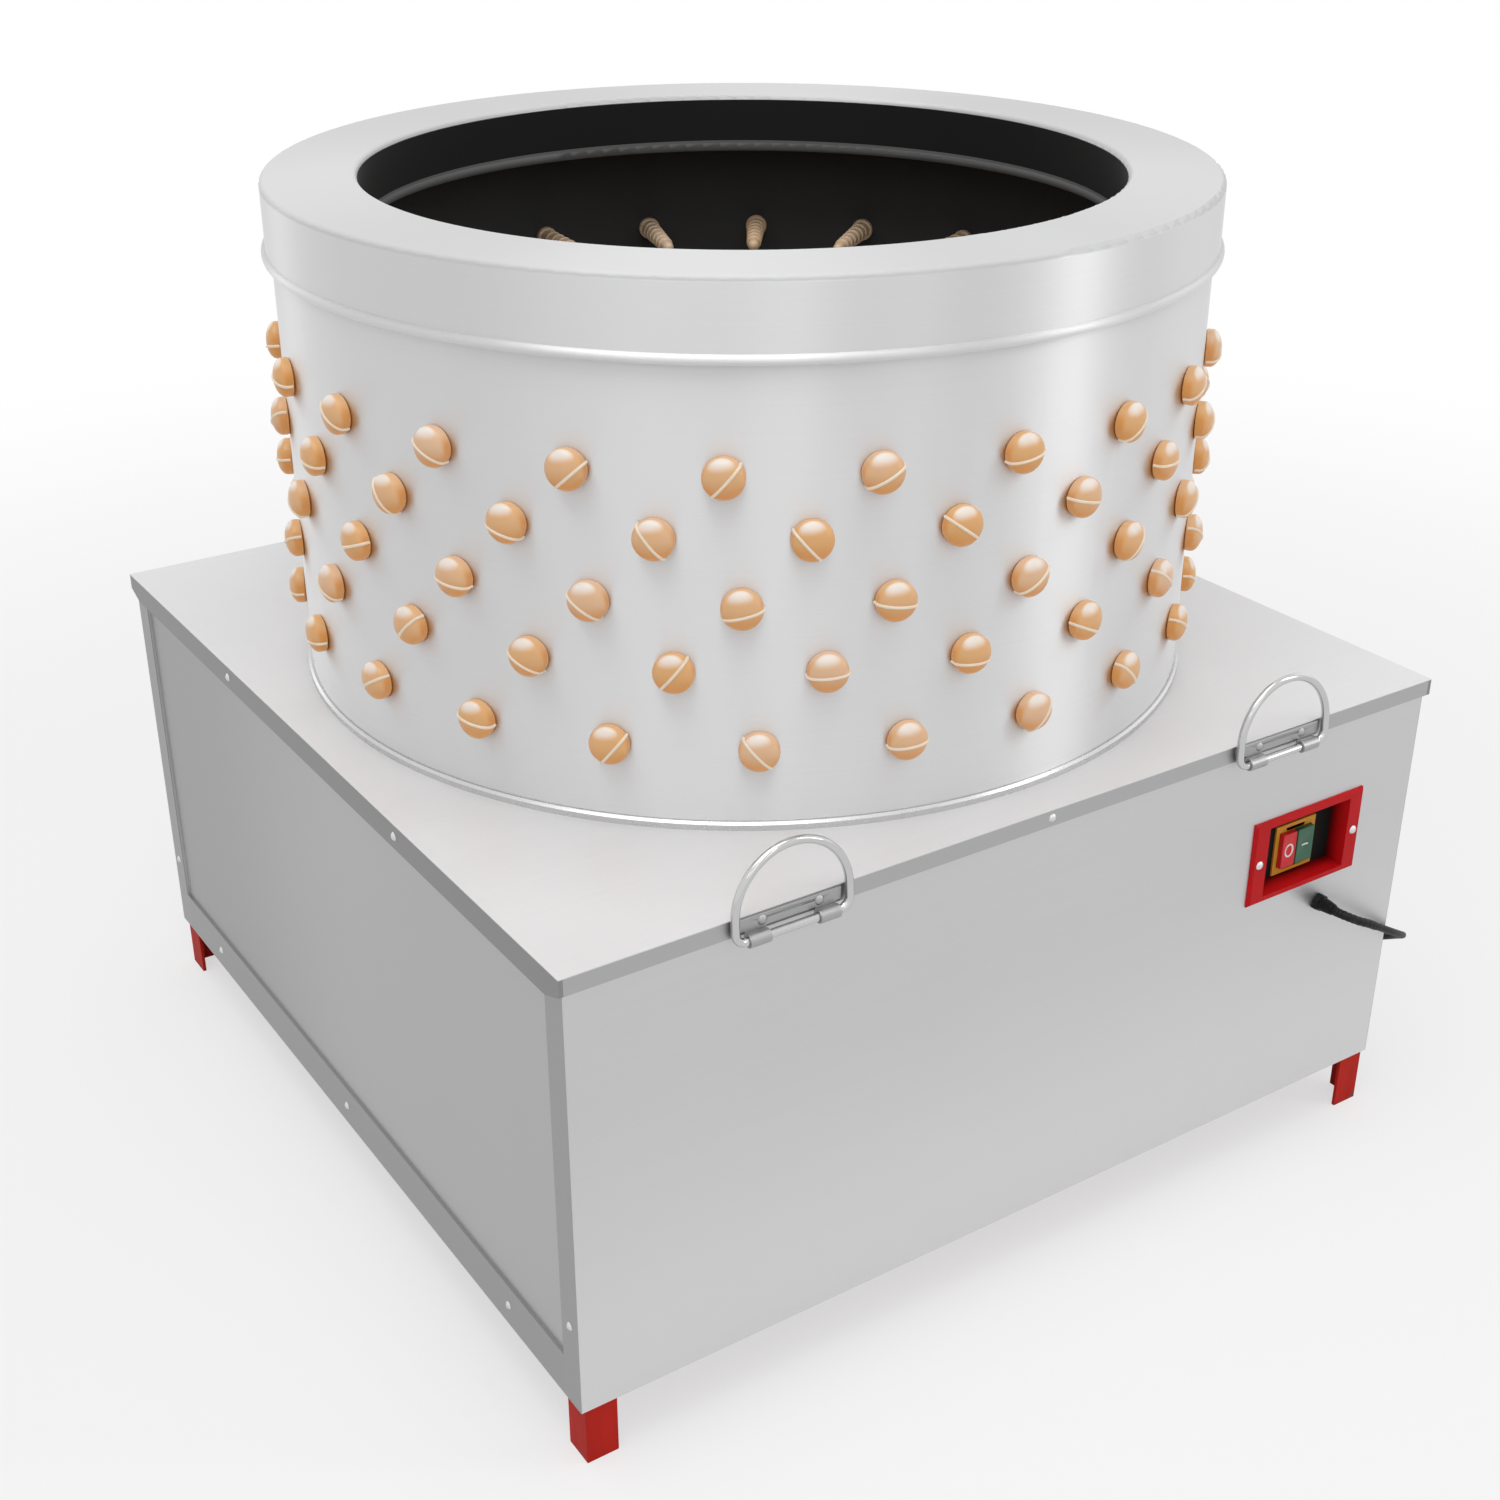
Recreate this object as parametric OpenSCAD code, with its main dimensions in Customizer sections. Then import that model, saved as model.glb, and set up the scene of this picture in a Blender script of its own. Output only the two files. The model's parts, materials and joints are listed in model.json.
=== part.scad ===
/* [Cabinet] */
// Width and depth of the cabinet over its panels
cabinet_w = 768; // [752:2:800]
// Height of the lid's top above the floor
lid_top = 398; // [388:1:418]
// Height of the panels' lower edge above the floor
foot_h = 48; // [42:1:54]
// Thickness of the panel sheet
sheet_t = 1.2; // [1:0.1:1.6]
// Thickness of the lid sheet
lid_t = 1.5; // [1.2:0.1:2.5]
// Gap between the panels and the lid's skirt
lid_gap = 2; // [1.5:0.1:3]
// Depth of the lid's skirt at the front and back
front_skirt_h = 13; // [9:0.5:15]
// Depth of the lid's skirt at the sides
side_skirt_h = 20; // [16:0.5:26]
// Length of the slope at each end of the side skirts
skirt_slope = 18; // [10:1:30]
// Width of the flange that the front and back panels fold round the corners
return_w = 22; // [18:1:26]
// Height of the sill strip along the bottom of each side
sill_h = 36; // [28:1:44]
// Width of the feather outlet in the back panel
outlet_w = 360; // [300:5:400]
// Height of the feather outlet
outlet_h = 90; // [70:1:100]

/* [Frame] */
// Leg length of the angle iron
angle_w = 25; // [22:1:28]
// Thickness of the angle iron
angle_t = 3; // [2.5:0.5:4]
// Width of the channel beams that carry the drive
beam_w = 40; // [36:1:50]
// Height of the channel beams
beam_h = 20; // [16:1:24]
// Distance from the middle to each spindle beam
beam_y = 150; // [145:1:160]

/* [Drum] */
// Distance from the cabinet's face in to the drum wall
drum_inset = 34; // [30:1:44]
// Thickness of the drum wall
drum_t = 1.5; // [1.2:0.1:2.5]
// Height of the rim's top above the lid
drum_h = 376; // [350:1:400]
// Distance from the drum wall in to the mouth
rim_w = 66; // [60:1:78]
// Room between the drum wall and the rim's collar
collar_gap = 2.3; // [2:0.1:3]
// Bend radius of the rim's two edges
rim_bend = 4; // [3:0.5:6]
// Height of the collar from the bead's middle to the top
collar_h = 51; // [40:1:60]
// Radius of the bead rolled along the collar's lower edge
bead_r = 3.5; // [3:0.1:4]
// Depth of the neck that hangs inside the mouth
neck_h = 43; // [30:1:55]
// Radius of the hem rolled along the neck's lower edge
hem_r = 4.5; // [3.5:0.1:6]
// Height of the ring at the drum's foot
ring_h = 6; // [4:0.5:10]
// Width of the ring at the drum's foot
ring_w = 3.5; // [2.5:0.5:6]
// Width of the ledge of lid inside the drum wall
lid_ledge = 8; // [5:1:12]

/* [Fingers] */
// Fingers in each row of the drum wall
row_count = 22; // [16:1:24]
// Turn of the top row
row_turn = 5.6; // [0:0.1:16]
// Turn from each row to the next below
row_shift = 9.1; // [6:0.1:10]
// Height of the top row above the lid
row_1_z = 250; // [240:1:260]
// Height of the second row above the lid
row_2_z = 208; // [200:1:215]
// Height of the third row above the lid
row_3_z = 162; // [155:1:170]
// Height of the fourth row above the lid
row_4_z = 116; // [108:1:124]
// Height of the bottom row above the lid
row_5_z = 60; // [52:1:70]
// Radius of a finger's head
head_r = 14; // [11:0.5:15]
// Height of a finger's domed head
head_h = 12.5; // [9:0.5:14]
// Height of the straight side under the head's dome
head_side = 5; // [3:0.5:7]
// Radius of the neck that snaps into the sheet
finger_neck_r = 8; // [7:0.5:10]
// Radius of the collar behind the sheet
finger_collar_r = 9.5; // [9:0.5:13]
// Height of the collar behind the sheet
finger_collar_h = 5; // [4:1:14]
// Length of a finger from the sheet to its tip
finger_len = 86; // [70:1:95]
// Radius at the foot of the tapered part
finger_root_r = 7.5; // [6:0.5:9]
// Radius of the rounded tip
finger_tip_r = 5; // [4:0.5:6]
// Ribs round the tapered part
rib_count = 6; // [3:1:9]
// Radius of a rib's section
rib_r = 1.2; // [1:0.1:2]

/* [Rotor] */
// Room between the turning plate and the drum wall
plate_room = 32; // [28:1:44]
// Thickness of the turning plate
plate_t = 3; // [2:0.5:5]
// Height of the plate's underside above the lid
plate_rise = 12; // [10:1:16]
// Depth of the plate's turned-down edge
plate_edge_h = 14; // [8:1:18]
// Fingers in the outer ring of the plate
outer_ring_count = 18; // [12:1:22]
// Fingers in the inner ring of the plate
inner_ring_count = 9; // [6:1:12]
// Radius of the inner ring of fingers
inner_ring_r = 125; // [110:1:140]
// Room between the wall fingers' tips and the plate's outer ring
ring_room = 18; // [10:1:30]
// Radius of the main shaft
shaft_r = 15; // [14:0.5:17]
// Radius of the threaded shaft end under the nut
thread_r = 12; // [10:0.5:13]
// Radius of the hub's flange
hub_flange_r = 65; // [60:1:72]
// Thickness of the hub's flange
hub_flange_t = 8; // [6:0.5:12]
// Radius of the hub's boss
hub_boss_r = 30; // [26:1:34]
// Length of the hub under the plate
hub_len = 46; // [40:1:52]
// Radius of the hub's drip skirt
drip_r = 54; // [52:1:58]
// Length of the drip skirt under the plate
drip_len = 66; // [58:1:70]

/* [Drive] */
// Distance between the main shaft and the motor shaft
centre_dist = 250; // [244:1:260]
// Radius of the driven pulley
big_pulley_r = 140; // [120:1:145]
// Radius of the motor pulley
small_pulley_r = 35; // [30:0.5:40]
// Width of both pulleys
pulley_w = 20; // [18:0.5:22]
// Room between the pulleys and the beams
pulley_room = 5; // [4:0.5:7]
// Width of the belt at its back
belt_w = 13; // [12:0.5:14]
// Thickness of the belt
belt_t = 8; // [7:0.5:9]
// Half the angle of the belt's flanks
belt_angle = 19; // [17:0.5:20]
// Thickness of the spindle plate and the motor plate
mount_t = 8; // [6:0.5:10]
// Width of the spindle plate
spindle_plate_w = 170; // [160:2:190]
// Height of the spindle housing
housing_h = 152; // [140:1:160]
// Outside radius of the spindle housing
housing_r = 42; // [39:0.5:46]
// Radius of the housing's flange
housing_flange_r = 72; // [68:1:78]
// Outside radius of the bearings
bearing_r = 31; // [29:0.5:33]
// Width of the bearings
bearing_w = 16; // [13:0.5:19]
// Radius of the motor's flange
motor_flange_r = 94; // [92:1:98]
// Radius of the motor's body at the foot of its fins
motor_r = 66; // [60:1:70]
// Height of the motor's fins
fin_h = 9; // [6:0.5:11]
// Number of fins
fin_count = 28; // [20:1:36]
// Height of the motor's finned body
motor_body_h = 136; // [120:1:146]
// Height of the fan cover
fan_cover_h = 44; // [36:1:50]
// Radius of the motor shaft
motor_shaft_r = 9.5; // [8:0.5:11]

/* [Switch] */
// Distance from the cabinet's side to the middle of the switch housing
switch_inset = 115; // [105:1:135]
// Height of the switch housing's middle above the floor
switch_z = 284; // [270:1:292]
// Width of the switch housing
switch_w = 118; // [112:1:130]
// Height of the switch housing
switch_h = 72; // [68:1:84]
// Stand of the switch housing out of the panel
switch_proud = 3; // [2:0.5:3]
// Depth of the recess behind the panel
recess_d = 12; // [9:0.5:16]
// Width of the recess
recess_w = 88; // [84:1:92]
// Height of the recess
recess_h = 60; // [58:1:62]
// Narrowing of the recess on each side from its mouth to its floor
recess_taper = 3; // [1:0.5:4]
// Side of the square button plate
button_plate_w = 43; // [42:0.5:45]
// Width of the stop button
stop_w = 15; // [12:0.5:16]
// Width of the start button
start_w = 18; // [14:0.5:19]
// Height of both buttons
button_h = 30; // [24:1:32]
// Stand of the buttons out of their plate
button_proud = 4; // [3.5:0.5:6]
// Travel of the buttons
button_travel = 3; // [2:0.5:3]

/* [Handles] */
// Distance from the cabinet's side to the middle of each handle
handle_inset = 164; // [150:1:190]
// Radius of the handle wire
wire_r = 3; // [2.5:0.1:3.2]
// Radius of the handle's arch along the wire's middle
arch_r = 44; // [40:0.5:50]
// Height of the arch's middle above the pivot
arch_z = 16; // [9:0.5:22]
// Bend radius of the handle's lower corners
corner_r = 8; // [6:0.5:9]
// Depth of the pivot below the lid's top
pivot_drop = 16; // [15:0.5:20]
// Wall of the knuckles that hold the wire
knuckle_t = 1.7; // [1.4:0.1:2]
// Thickness of the handle plate
handle_plate_t = 2; // [1.5:0.1:3]
// Lean of the handle against the lid
handle_lean = 3; // [1:0.5:3]

/* [Cord] */
// Diameter of the power cord
cord_d = 6; // [6:0.5:8]
// Turns in each layer of the coil
coil_turns = 3; // [2:1:4]
// Radius of the coil's outer turn
coil_r = 48; // [44:1:54]
// Gap between neighbouring turns
coil_gap = 0.6; // [0.5:0.1:1.5]

/* [Hidden] */
$fn = 64;
// Clearances
fit = 0.3;
run = 0.05;
seat = 0.02;
eps = 0.5;
steel = [0.78, 0.78, 0.78];
bright = [0.9, 0.9, 0.9];
red_paint = [0.66, 0.17, 0.14];
rubber = [0.83, 0.66, 0.42];
grey_iron = [0.45, 0.46, 0.47];
black = [0.08, 0.08, 0.08];

// Cabinet planes
face = cabinet_w/2;
inner_y = face - sheet_t;
hem_t = 2*sheet_t;
side_out = face - hem_t;
inner_x = side_out - sheet_t;
lid_under = lid_top - lid_t;
skirt_in = face + lid_gap;
skirt_out = skirt_in + lid_t;
panel_top = lid_under;

// Frame rails
rail_x = inner_x - angle_w;
rail_y = inner_y - angle_w;
low_rail_z = foot_h + 2;
low_rail_top = low_rail_z + angle_w;
beam_top = low_rail_top + beam_h;
mount_top = beam_top + mount_t;

// Small fasteners
screw_head_r = 3.2;
screw_head_h = 1.8;
screw_r = 1.6;
large_head_r = 3.6;
large_head_h = 2;
skirt_screw_y = 0.404*face;
sill_screw_y = 0.73*face;
return_screw_rise = 69;
return_screw_z = foot_h + return_screw_rise;
front_screw_z = lid_top - front_skirt_h/2;
side_screw_z = lid_top - side_skirt_h/2;
sill_screw_z = foot_h + sill_h/2;

// Drum
drum_r = face - drum_inset;
mouth_r = drum_r - rim_w;
rim_r = drum_r + collar_gap + drum_t;
rim_top = lid_top + drum_h;
bead_z = rim_top - collar_h;
neck_z = rim_top - neck_h;
lid_hole_r = drum_r - drum_t - lid_ledge;
hem_in = 1;
row_z = [row_1_z, row_2_z, row_3_z, row_4_z, row_5_z];

// Rotor
plate_r = drum_r - plate_room;
plate_under = lid_top + plate_rise;
plate_top = plate_under + plate_t;
outer_ring_r = drum_r - drum_t - finger_len - ring_room - head_r;
hub_bottom = plate_under - hub_len;
hub_bolt_r = (hub_boss_r + drip_r)/2 + 2;
hub_bolt_count = 6;
bolt_r = 4;
bolt_head_h = 5;
nut_r = 20;
nut_h = 18;
washer_w = 5;
washer_t = 3;
thread_len = nut_h + 4;

// Drive
pulley_top = low_rail_top - pulley_room;
pulley_bottom = pulley_top - pulley_w;
pulley_mid = (pulley_top + pulley_bottom)/2;
boss_wall = 6;
shaft_bottom = pulley_bottom - 5;
housing_top = mount_top + housing_h;
housing_bore_r = bearing_r - 5;
housing_bolt_r = (housing_r + housing_flange_r)/2 + 1;
housing_flange_t = 10;
gusset_count = 4;
gusset_t = 6;
gusset_h = 60;
gusset_foot = 4;
bolt_turn = 45;
bolt_count = 4;
motor_y = -centre_dist;
motor_beam_y = beam_w/2 + 4 - inner_y;
flange_t = 12;
flange_step = 3;
shaft_room = 8;
motor_bolt_r = motor_flange_r - 9;
box_x = motor_r - 6;
box_z = 28;
box_d = 34;
box_w = 60;
box_h = 72;
box_lid_t = 5;
box_lid_edge = 3;
box_gland_r = 9;
box_gland_h = 12;
body_bottom = mount_top + flange_t;
body_top = body_bottom + motor_body_h;
belt_lean = asin((big_pulley_r - small_pulley_r)/centre_dist);
belt_steps = 40;
spindle_plate_back = beam_y + beam_w/2;
plate_split = -beam_y + 1;

// Feather tray
tray_t = 1.5;
tray_lip = 9;
tray_room = 4;
tray_gap = 0.2;
tray_drop = 14;
tray_fall = 115;
tray_x = lid_hole_r + tray_lip;
tray_front = tray_room - rail_y;
tray_back = inner_y - tray_gap;
tray_turn_y = 0.31*face;
tray_high = lid_under - angle_w - tray_drop;
tray_low = tray_high - tray_fall;
tray_slope = atan(tray_fall/(tray_back - tray_front));
tray_skirt = 20;
tray_foot = tray_low - tray_skirt;
outlet_z = tray_low - 2;
tray_top = lid_under - tray_gap;
neck_tube_r = drip_r - tray_lip;
neck_tube_top = plate_under - drip_len + tray_drop;

// Switch
switch_x = face - switch_inset;
switch_face = -face - switch_proud;
recess_floor = -face + recess_d;
sleeve_t = 2.5;
sleeve_w = recess_w + 2*sleeve_t;
sleeve_h = recess_h + 2*sleeve_t;
plate_rest = 1.5;
plate_x = switch_x;
plate_z = switch_z - recess_h/2 + recess_taper + plate_rest + button_plate_w/2;
button_plate_t = 2;
plate_face = recess_floor - button_plate_t;
button_gap = 1.2;
stop_x = plate_x - (start_w + button_gap)/2;
start_x = plate_x + (stop_w + button_gap)/2;
button_front = plate_face - button_proud;
button_root = 4;
button_back = recess_floor + button_root;
block_d = 34;
block_t = 2.5;
dish_r = 12;
dish_depth = 0.8;
switch_screw_x = switch_w/2 - (switch_w - recess_w)/4;

// Handles
handle_x = face - handle_inset;
knuckle_r = wire_r + run + knuckle_t;
pivot_y = -skirt_out - knuckle_r;
pivot_z = lid_top - pivot_drop;
knuckle_x = arch_r - corner_r - 9;
knuckle_w = 16;
handle_plate_x = arch_r - wire_r - 2;
handle_plate_top = lid_top - 1;
handle_plate_low = pivot_z + knuckle_r + 1;
handle_screw_x = 22;
handle_screw_z = (handle_plate_low + handle_plate_top)/2;

// Gland and cord
gland_right = 25;
gland_drop = 58;
gland_x = switch_x + gland_right;
gland_z = switch_z - gland_drop;
gland_r = 7.5;
gland_len = 17;
gland_hex_h = 5;
gland_neck_h = 10;
gland_thread_len = 8;
gland_thread_r = 5.2;
gland_neck_r = gland_r - 2;
cord_r = cord_d/2;
boot_r = 3.9;
boot_end_r = cord_r + 0.4;
boot_sides = 12;
cord_sides = 8;
gland_tip = -face - gland_len;
tie_t = 0.8;
tie_w = 9;
floor_gap = 0.1;
coil_z = cord_r + fit + tie_t + floor_gap;
// Step along X and Y from the gland's tip, and the share of the gland's height that is left
function route_point(p) = [gland_x + p[0], gland_tip + p[1], coil_z + (gland_z - coil_z)*p[2]];
// Bent boot, from the gland to the bare cord
boot_steps = [
    [0, 0, 1], [0, -2.5, 1], [0, -5, 1], [3, -12, 0.995], [11, -17, 0.977], [22, -19, 0.953],
    [29, -19, 0.934]
];
// Free run of the cord, round the corner and down to the floor
cord_steps = [
    [29.4, -19, 0.9328], [36, -19, 0.916], [55, -17, 0.864], [76, -10, 0.803], [96, 4, 0.738],
    [110, 24, 0.667], [116, 48, 0.592], [118, 73, 0.503], [118, 101, 0.4], [117, 129, 0.292],
    [114, 157, 0.189], [109, 185, 0.1], [103, 213, 0.039], [98, 241, 0.006], [96, 271, 0],
    [96, 299, 0], [96, 314, 0], [96, 321, 0]
];
boot_route = [for (p = boot_steps) route_point(p)];
cord_route = [for (p = cord_steps) route_point(p)];
cord_end = cord_route[len(cord_route) - 1];
coil_x = cord_end[0] + coil_r;
coil_y = cord_end[1];
layer_step = cord_d + coil_gap;
turn_step = cord_d + coil_gap;
coil_rings = 24;
coil_sides = 6;
half_turn = 180;
spiral_turn = 360*coil_turns;
coil_end = 2*spiral_turn + half_turn;
coil_inner = coil_r - turn_step*coil_turns;
coil_dip = turn_step/4;
plug_z = coil_z + layer_step;
plug_r = plug_z - 2*floor_gap;
plug_sleeve = 14;
plug_len = 40;
plug_grip = 18;
plug_face_h = 8;
pin_r = 2.4;
pin_len = 19;
pin_x = 6.8;

// Shared shapes

// Part of a disc that a dome of the given base radius and height has on one side of its axis
module dome_2d(r, h) {
    ball = (r*r + h*h)/(2*h);
    intersection() {
        translate([0, h - ball]) circle(ball);
        square([r, h]);
    }
}

// Dome-headed screw along +Z with its head's underside at z = 0
module dome_screw(r, h, shank, len) {
    rotate_extrude() {
        dome_2d(r, h);
        translate([0, -len]) square([shank, len + h/2]);
    }
}

// Hexagon bolt along +Z with its head's underside at z = 0
module hex_bolt(r, len) {
    cylinder(r = 1.65*r, h = bolt_head_h, $fn = 6);
    translate([0, 0, -len]) cylinder(r = r, h = len + bolt_head_h/2);
}

// Angle iron along +Z with its outer corner on the axis
module angle_iron(len) {
    linear_extrude(len) {
        square([angle_w, angle_t]);
        square([angle_t, angle_w]);
    }
}

module mirror_x() {
    children();
    mirror([1, 0, 0]) children();
}

module mirror_y() {
    children();
    mirror([0, 1, 0]) children();
}

module at_corners() {
    mirror_x() mirror_y() children();
}

module ring(outer, inner, h) {
    difference() {
        cylinder(r = outer, h = h);
        translate([0, 0, -eps]) cylinder(r = inner, h = h + 2*eps);
    }
}

// Rubber finger along -Z: its head's underside is at z = 0 and the sheet lies below that
module finger(sheet) {
    root = -(sheet + finger_collar_h);
    tip = -(sheet + finger_len - finger_tip_r);
    step = (tip - root)/(rib_count + 1);
    rotate_extrude($fn = 32) {
        square([head_r, head_side]);
        translate([0, head_side]) dome_2d(head_r, head_h - head_side);
        translate([0, root]) square([finger_neck_r, head_side/2 - root]);
        translate([0, root]) square([finger_collar_r, finger_collar_h]);
        polygon([[0, root + eps], [finger_root_r, root + eps], [finger_tip_r, tip], [0, tip]]);
        intersection() {
            translate([0, tip]) circle(finger_tip_r);
            translate([0, tip - finger_tip_r]) square(2*finger_tip_r);
        }
        for (i = [1:rib_count]) {
            translate([finger_root_r + (finger_tip_r - finger_root_r)*i/(rib_count + 1), root + i*step])
                circle(rib_r);
        }
    }
}

module at_row(row) {
    for (i = [0:row_count - 1]) {
        rotate([0, 0, row_turn + row*row_shift + i*360/row_count])
            translate([drum_r, 0, lid_top + row_z[row]])
                rotate([0, 90, 0]) children();
    }
}

module wall_fingers(row) {
    color(rubber) at_row(row) finger(drum_t + fit);
}

// Places its children at the fingers of one ring of the turning plate, head down
module at_ring(count, r) {
    for (i = [0:count - 1]) {
        rotate([0, 0, (i + 0.5)*360/count])
            translate([r, 0, plate_under]) rotate([180, 0, 0]) children();
    }
}

// Swept tubes

function unit(v) = v/norm(v);
// Point between b and c on a smooth curve through four points
function blend(a, b, c, d, t) =
    0.5*(2*b + t*(c - a) + t*t*(2*a - 5*b + 4*c - d) + t*t*t*(3*b - a - 3*c + d));
function point_at(p, i) = p[max(0, min(len(p) - 1, i))];
function smooth(p, steps) = concat(
    [for (i = [0:len(p) - 2]) for (s = [0:steps - 1])
        blend(point_at(p, i - 1), p[i], p[i + 1], point_at(p, i + 2), s/steps)],
    [p[len(p) - 1]]
);
function heading(p, i) = unit(point_at(p, i + 1) - point_at(p, i - 1));
function side_of(p, i) = unit(cross(heading(p, i), [0, 0, 1]));
function ring_point(p, i, r, a) =
    p[i] + r*(cos(a)*side_of(p, i) + sin(a)*cross(side_of(p, i), heading(p, i)));

// Closed tube of triangles along the points p, with one radius for each point
module tube(p, radii, sides) {
    n = len(p);
    last = (n - 1)*sides;
    points = [for (i = [0:n - 1]) for (j = [0:sides - 1]) ring_point(p, i, radii[i], (j + 0.5)*360/sides)];
    walls = [for (i = [0:n - 2]) for (j = [0:sides - 1])
        let (a = i*sides + j, b = i*sides + (j + 1)%sides)
        each [[a, a + sides, b], [b, a + sides, b + sides]]];
    first_cap = [for (j = [1:sides - 2]) [0, j, j + 1]];
    last_cap = [for (j = [1:sides - 2]) [last, last + j + 1, last + j]];
    polyhedron(points, concat(walls, first_cap, last_cap));
}

// Coil: in along the lower layer, up a layer in half a turn, and out along the upper layer
function coil_radius(a) =
    a < spiral_turn ? coil_r - turn_step*a/360
    : a < spiral_turn + half_turn ? coil_inner - coil_dip*sin(a - spiral_turn)
    : coil_inner + turn_step*(a - spiral_turn - half_turn)/360;
function coil_height(a) =
    a < spiral_turn ? coil_z
    : a < spiral_turn + half_turn ? coil_z + layer_step*(1 - cos(a - spiral_turn))/2
    : coil_z + layer_step;
function coil_point(a) = [
    coil_x - coil_radius(a)*cos(a), coil_y + coil_radius(a)*sin(a), coil_height(a)
];
coil_end_point = coil_point(coil_end);
coil_path = concat(
    [cord_end],
    [for (a = [360/coil_rings:360/coil_rings:coil_end]) coil_point(a)],
    [coil_end_point + [0, -cord_d, 0]]
);
coil_skip = coil_rings/2;
coil_gaps = [for (i = [0:len(coil_path) - 1]) for (j = [i + coil_skip:1:len(coil_path) - 1])
    norm(coil_path[i] - coil_path[j]) - cord_d];
echo(least_coil_gap = min(coil_gaps));
function path_length(p) = len(p) < 2 ? 0 : [for (i = 0, s = 0; i < len(p); i = i + 1,
    s = s + (i < len(p) ? norm(p[i] - p[i - 1]) : 0)) s][len(p) - 1];
cord_path = smooth(cord_route, 2);
echo(cord_length = path_length(cord_path) + path_length(coil_path));

// Frame

module corner_legs() {
    color(red_paint) at_corners() translate([-inner_x, -inner_y, 0]) angle_iron(lid_under);
}

// Rails between the legs, each with one flange upright and one on top
module rails(top) {
    mirror_y() translate([-rail_x, -inner_y, top]) rotate([0, 90, 0]) angle_iron(2*rail_x);
    mirror_x() translate([-inner_x, rail_y, top]) rotate([90, 0, 0]) rotate([0, 0, -90])
        angle_iron(2*rail_y);
}

module top_rails() {
    color(red_paint) rails(lid_under);
}

module bottom_rails() {
    color(red_paint) rails(low_rail_top);
}

// Channel across the cabinet on the side rails, open below
module cross_beam(y) {
    half = inner_x - angle_t - 1;
    translate([-half, y, low_rail_top]) rotate([90, 0, 90]) linear_extrude(2*half) difference() {
        translate([-beam_w/2, 0]) square([beam_w, beam_h]);
        translate([angle_t - beam_w/2, -eps]) square([beam_w - 2*angle_t, beam_h - angle_t + eps]);
    }
}

module cross_beams() {
    color(red_paint) for (y = [-beam_y, beam_y, motor_beam_y]) cross_beam(y);
}

// Cabinet

module at_skirt_screws() {
    mirror_x() for (y = [-skirt_screw_y, skirt_screw_y])
        translate([-skirt_out, y, side_screw_z]) rotate([0, -90, 0]) children();
    mirror_y() translate([0, -skirt_out, front_screw_z]) rotate([90, 0, 0]) children();
}

module at_sill_screws() {
    mirror_x() for (y = [-sill_screw_y, 0, sill_screw_y])
        translate([-face, y, sill_screw_z]) rotate([0, -90, 0]) children();
}

module at_return_screws() {
    at_corners() translate([-face, -face + return_w/2, return_screw_z]) rotate([0, -90, 0]) children();
}

module screw_hole(depth) {
    translate([0, 0, -depth]) cylinder(r = screw_r + seat, h = depth + eps);
}

// Slope from the front skirt's depth down to the side skirt's
module skirt_end_cut() {
    front = lid_top - front_skirt_h;
    side = lid_top - side_skirt_h;
    translate([-skirt_out - eps, 0, 0]) rotate([90, 0, 90]) linear_extrude(lid_t + 2*eps) polygon([
        [-skirt_out - eps, front], [-skirt_out, front], [skirt_slope - skirt_out, side],
        [skirt_slope - skirt_out, side - eps], [-skirt_out - eps, side - eps]
    ]);
}

module lid() {
    color(steel) difference() {
        union() {
            translate([-skirt_out, -skirt_out, lid_under]) cube([2*skirt_out, 2*skirt_out, lid_t]);
            mirror_x() translate([-skirt_out, -skirt_out, lid_top - side_skirt_h])
                cube([lid_t, 2*skirt_out, side_skirt_h]);
            mirror_y() translate([-skirt_out, -skirt_out, lid_top - front_skirt_h])
                cube([2*skirt_out, lid_t, front_skirt_h]);
        }
        at_corners() skirt_end_cut();
        translate([0, 0, lid_under - eps]) cylinder(r = lid_hole_r, h = lid_t + 2*eps);
        at_skirt_screws() screw_hole(lid_t + eps);
    }
}

// Sheet with a hemmed flange folded round both corners
module wrap_panel() {
    h = panel_top - foot_h;
    translate([-face, -face, foot_h]) cube([2*face, sheet_t, h]);
    mirror_x() translate([-face, -face, foot_h]) cube([hem_t, return_w, h]);
}

module front_panel() {
    color(steel) difference() {
        wrap_panel();
        translate([switch_x - sleeve_w/2 - seat, -face - eps, switch_z - sleeve_h/2 - seat])
            cube([sleeve_w + 2*seat, sheet_t + 2*eps, sleeve_h + 2*seat]);
        translate([gland_x, -face - eps, gland_z]) rotate([-90, 0, 0])
            cylinder(r = gland_thread_r + seat, h = sheet_t + 2*eps);
        at_return_screws() screw_hole(hem_t + eps);
    }
}

module back_panel() {
    color(steel) difference() {
        mirror([0, 1, 0]) wrap_panel();
        translate([-outlet_w/2, inner_y - eps, outlet_z]) cube([outlet_w, sheet_t + 2*eps, outlet_h]);
        at_return_screws() screw_hole(hem_t + eps);
    }
}

module side_panel() {
    translate([-side_out, -inner_y, foot_h]) cube([sheet_t, 2*inner_y, panel_top - foot_h]);
}

module left_panel() {
    color(steel) side_panel();
}

module right_panel() {
    color(steel) mirror([1, 0, 0]) side_panel();
}

module side_sills() {
    color(steel) difference() {
        mirror_x() translate([-face, -(face - return_w), foot_h])
            cube([hem_t, 2*(face - return_w), sill_h]);
        at_sill_screws() screw_hole(hem_t + eps);
    }
}

module panel_screws() {
    color(bright) {
        at_skirt_screws() dome_screw(screw_head_r, screw_head_h, screw_r, lid_t + lid_gap);
        at_sill_screws() dome_screw(screw_head_r, screw_head_h, screw_r, hem_t);
        at_return_screws() dome_screw(screw_head_r, screw_head_h, screw_r, hem_t);
    }
}

// Feather tray

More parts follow.
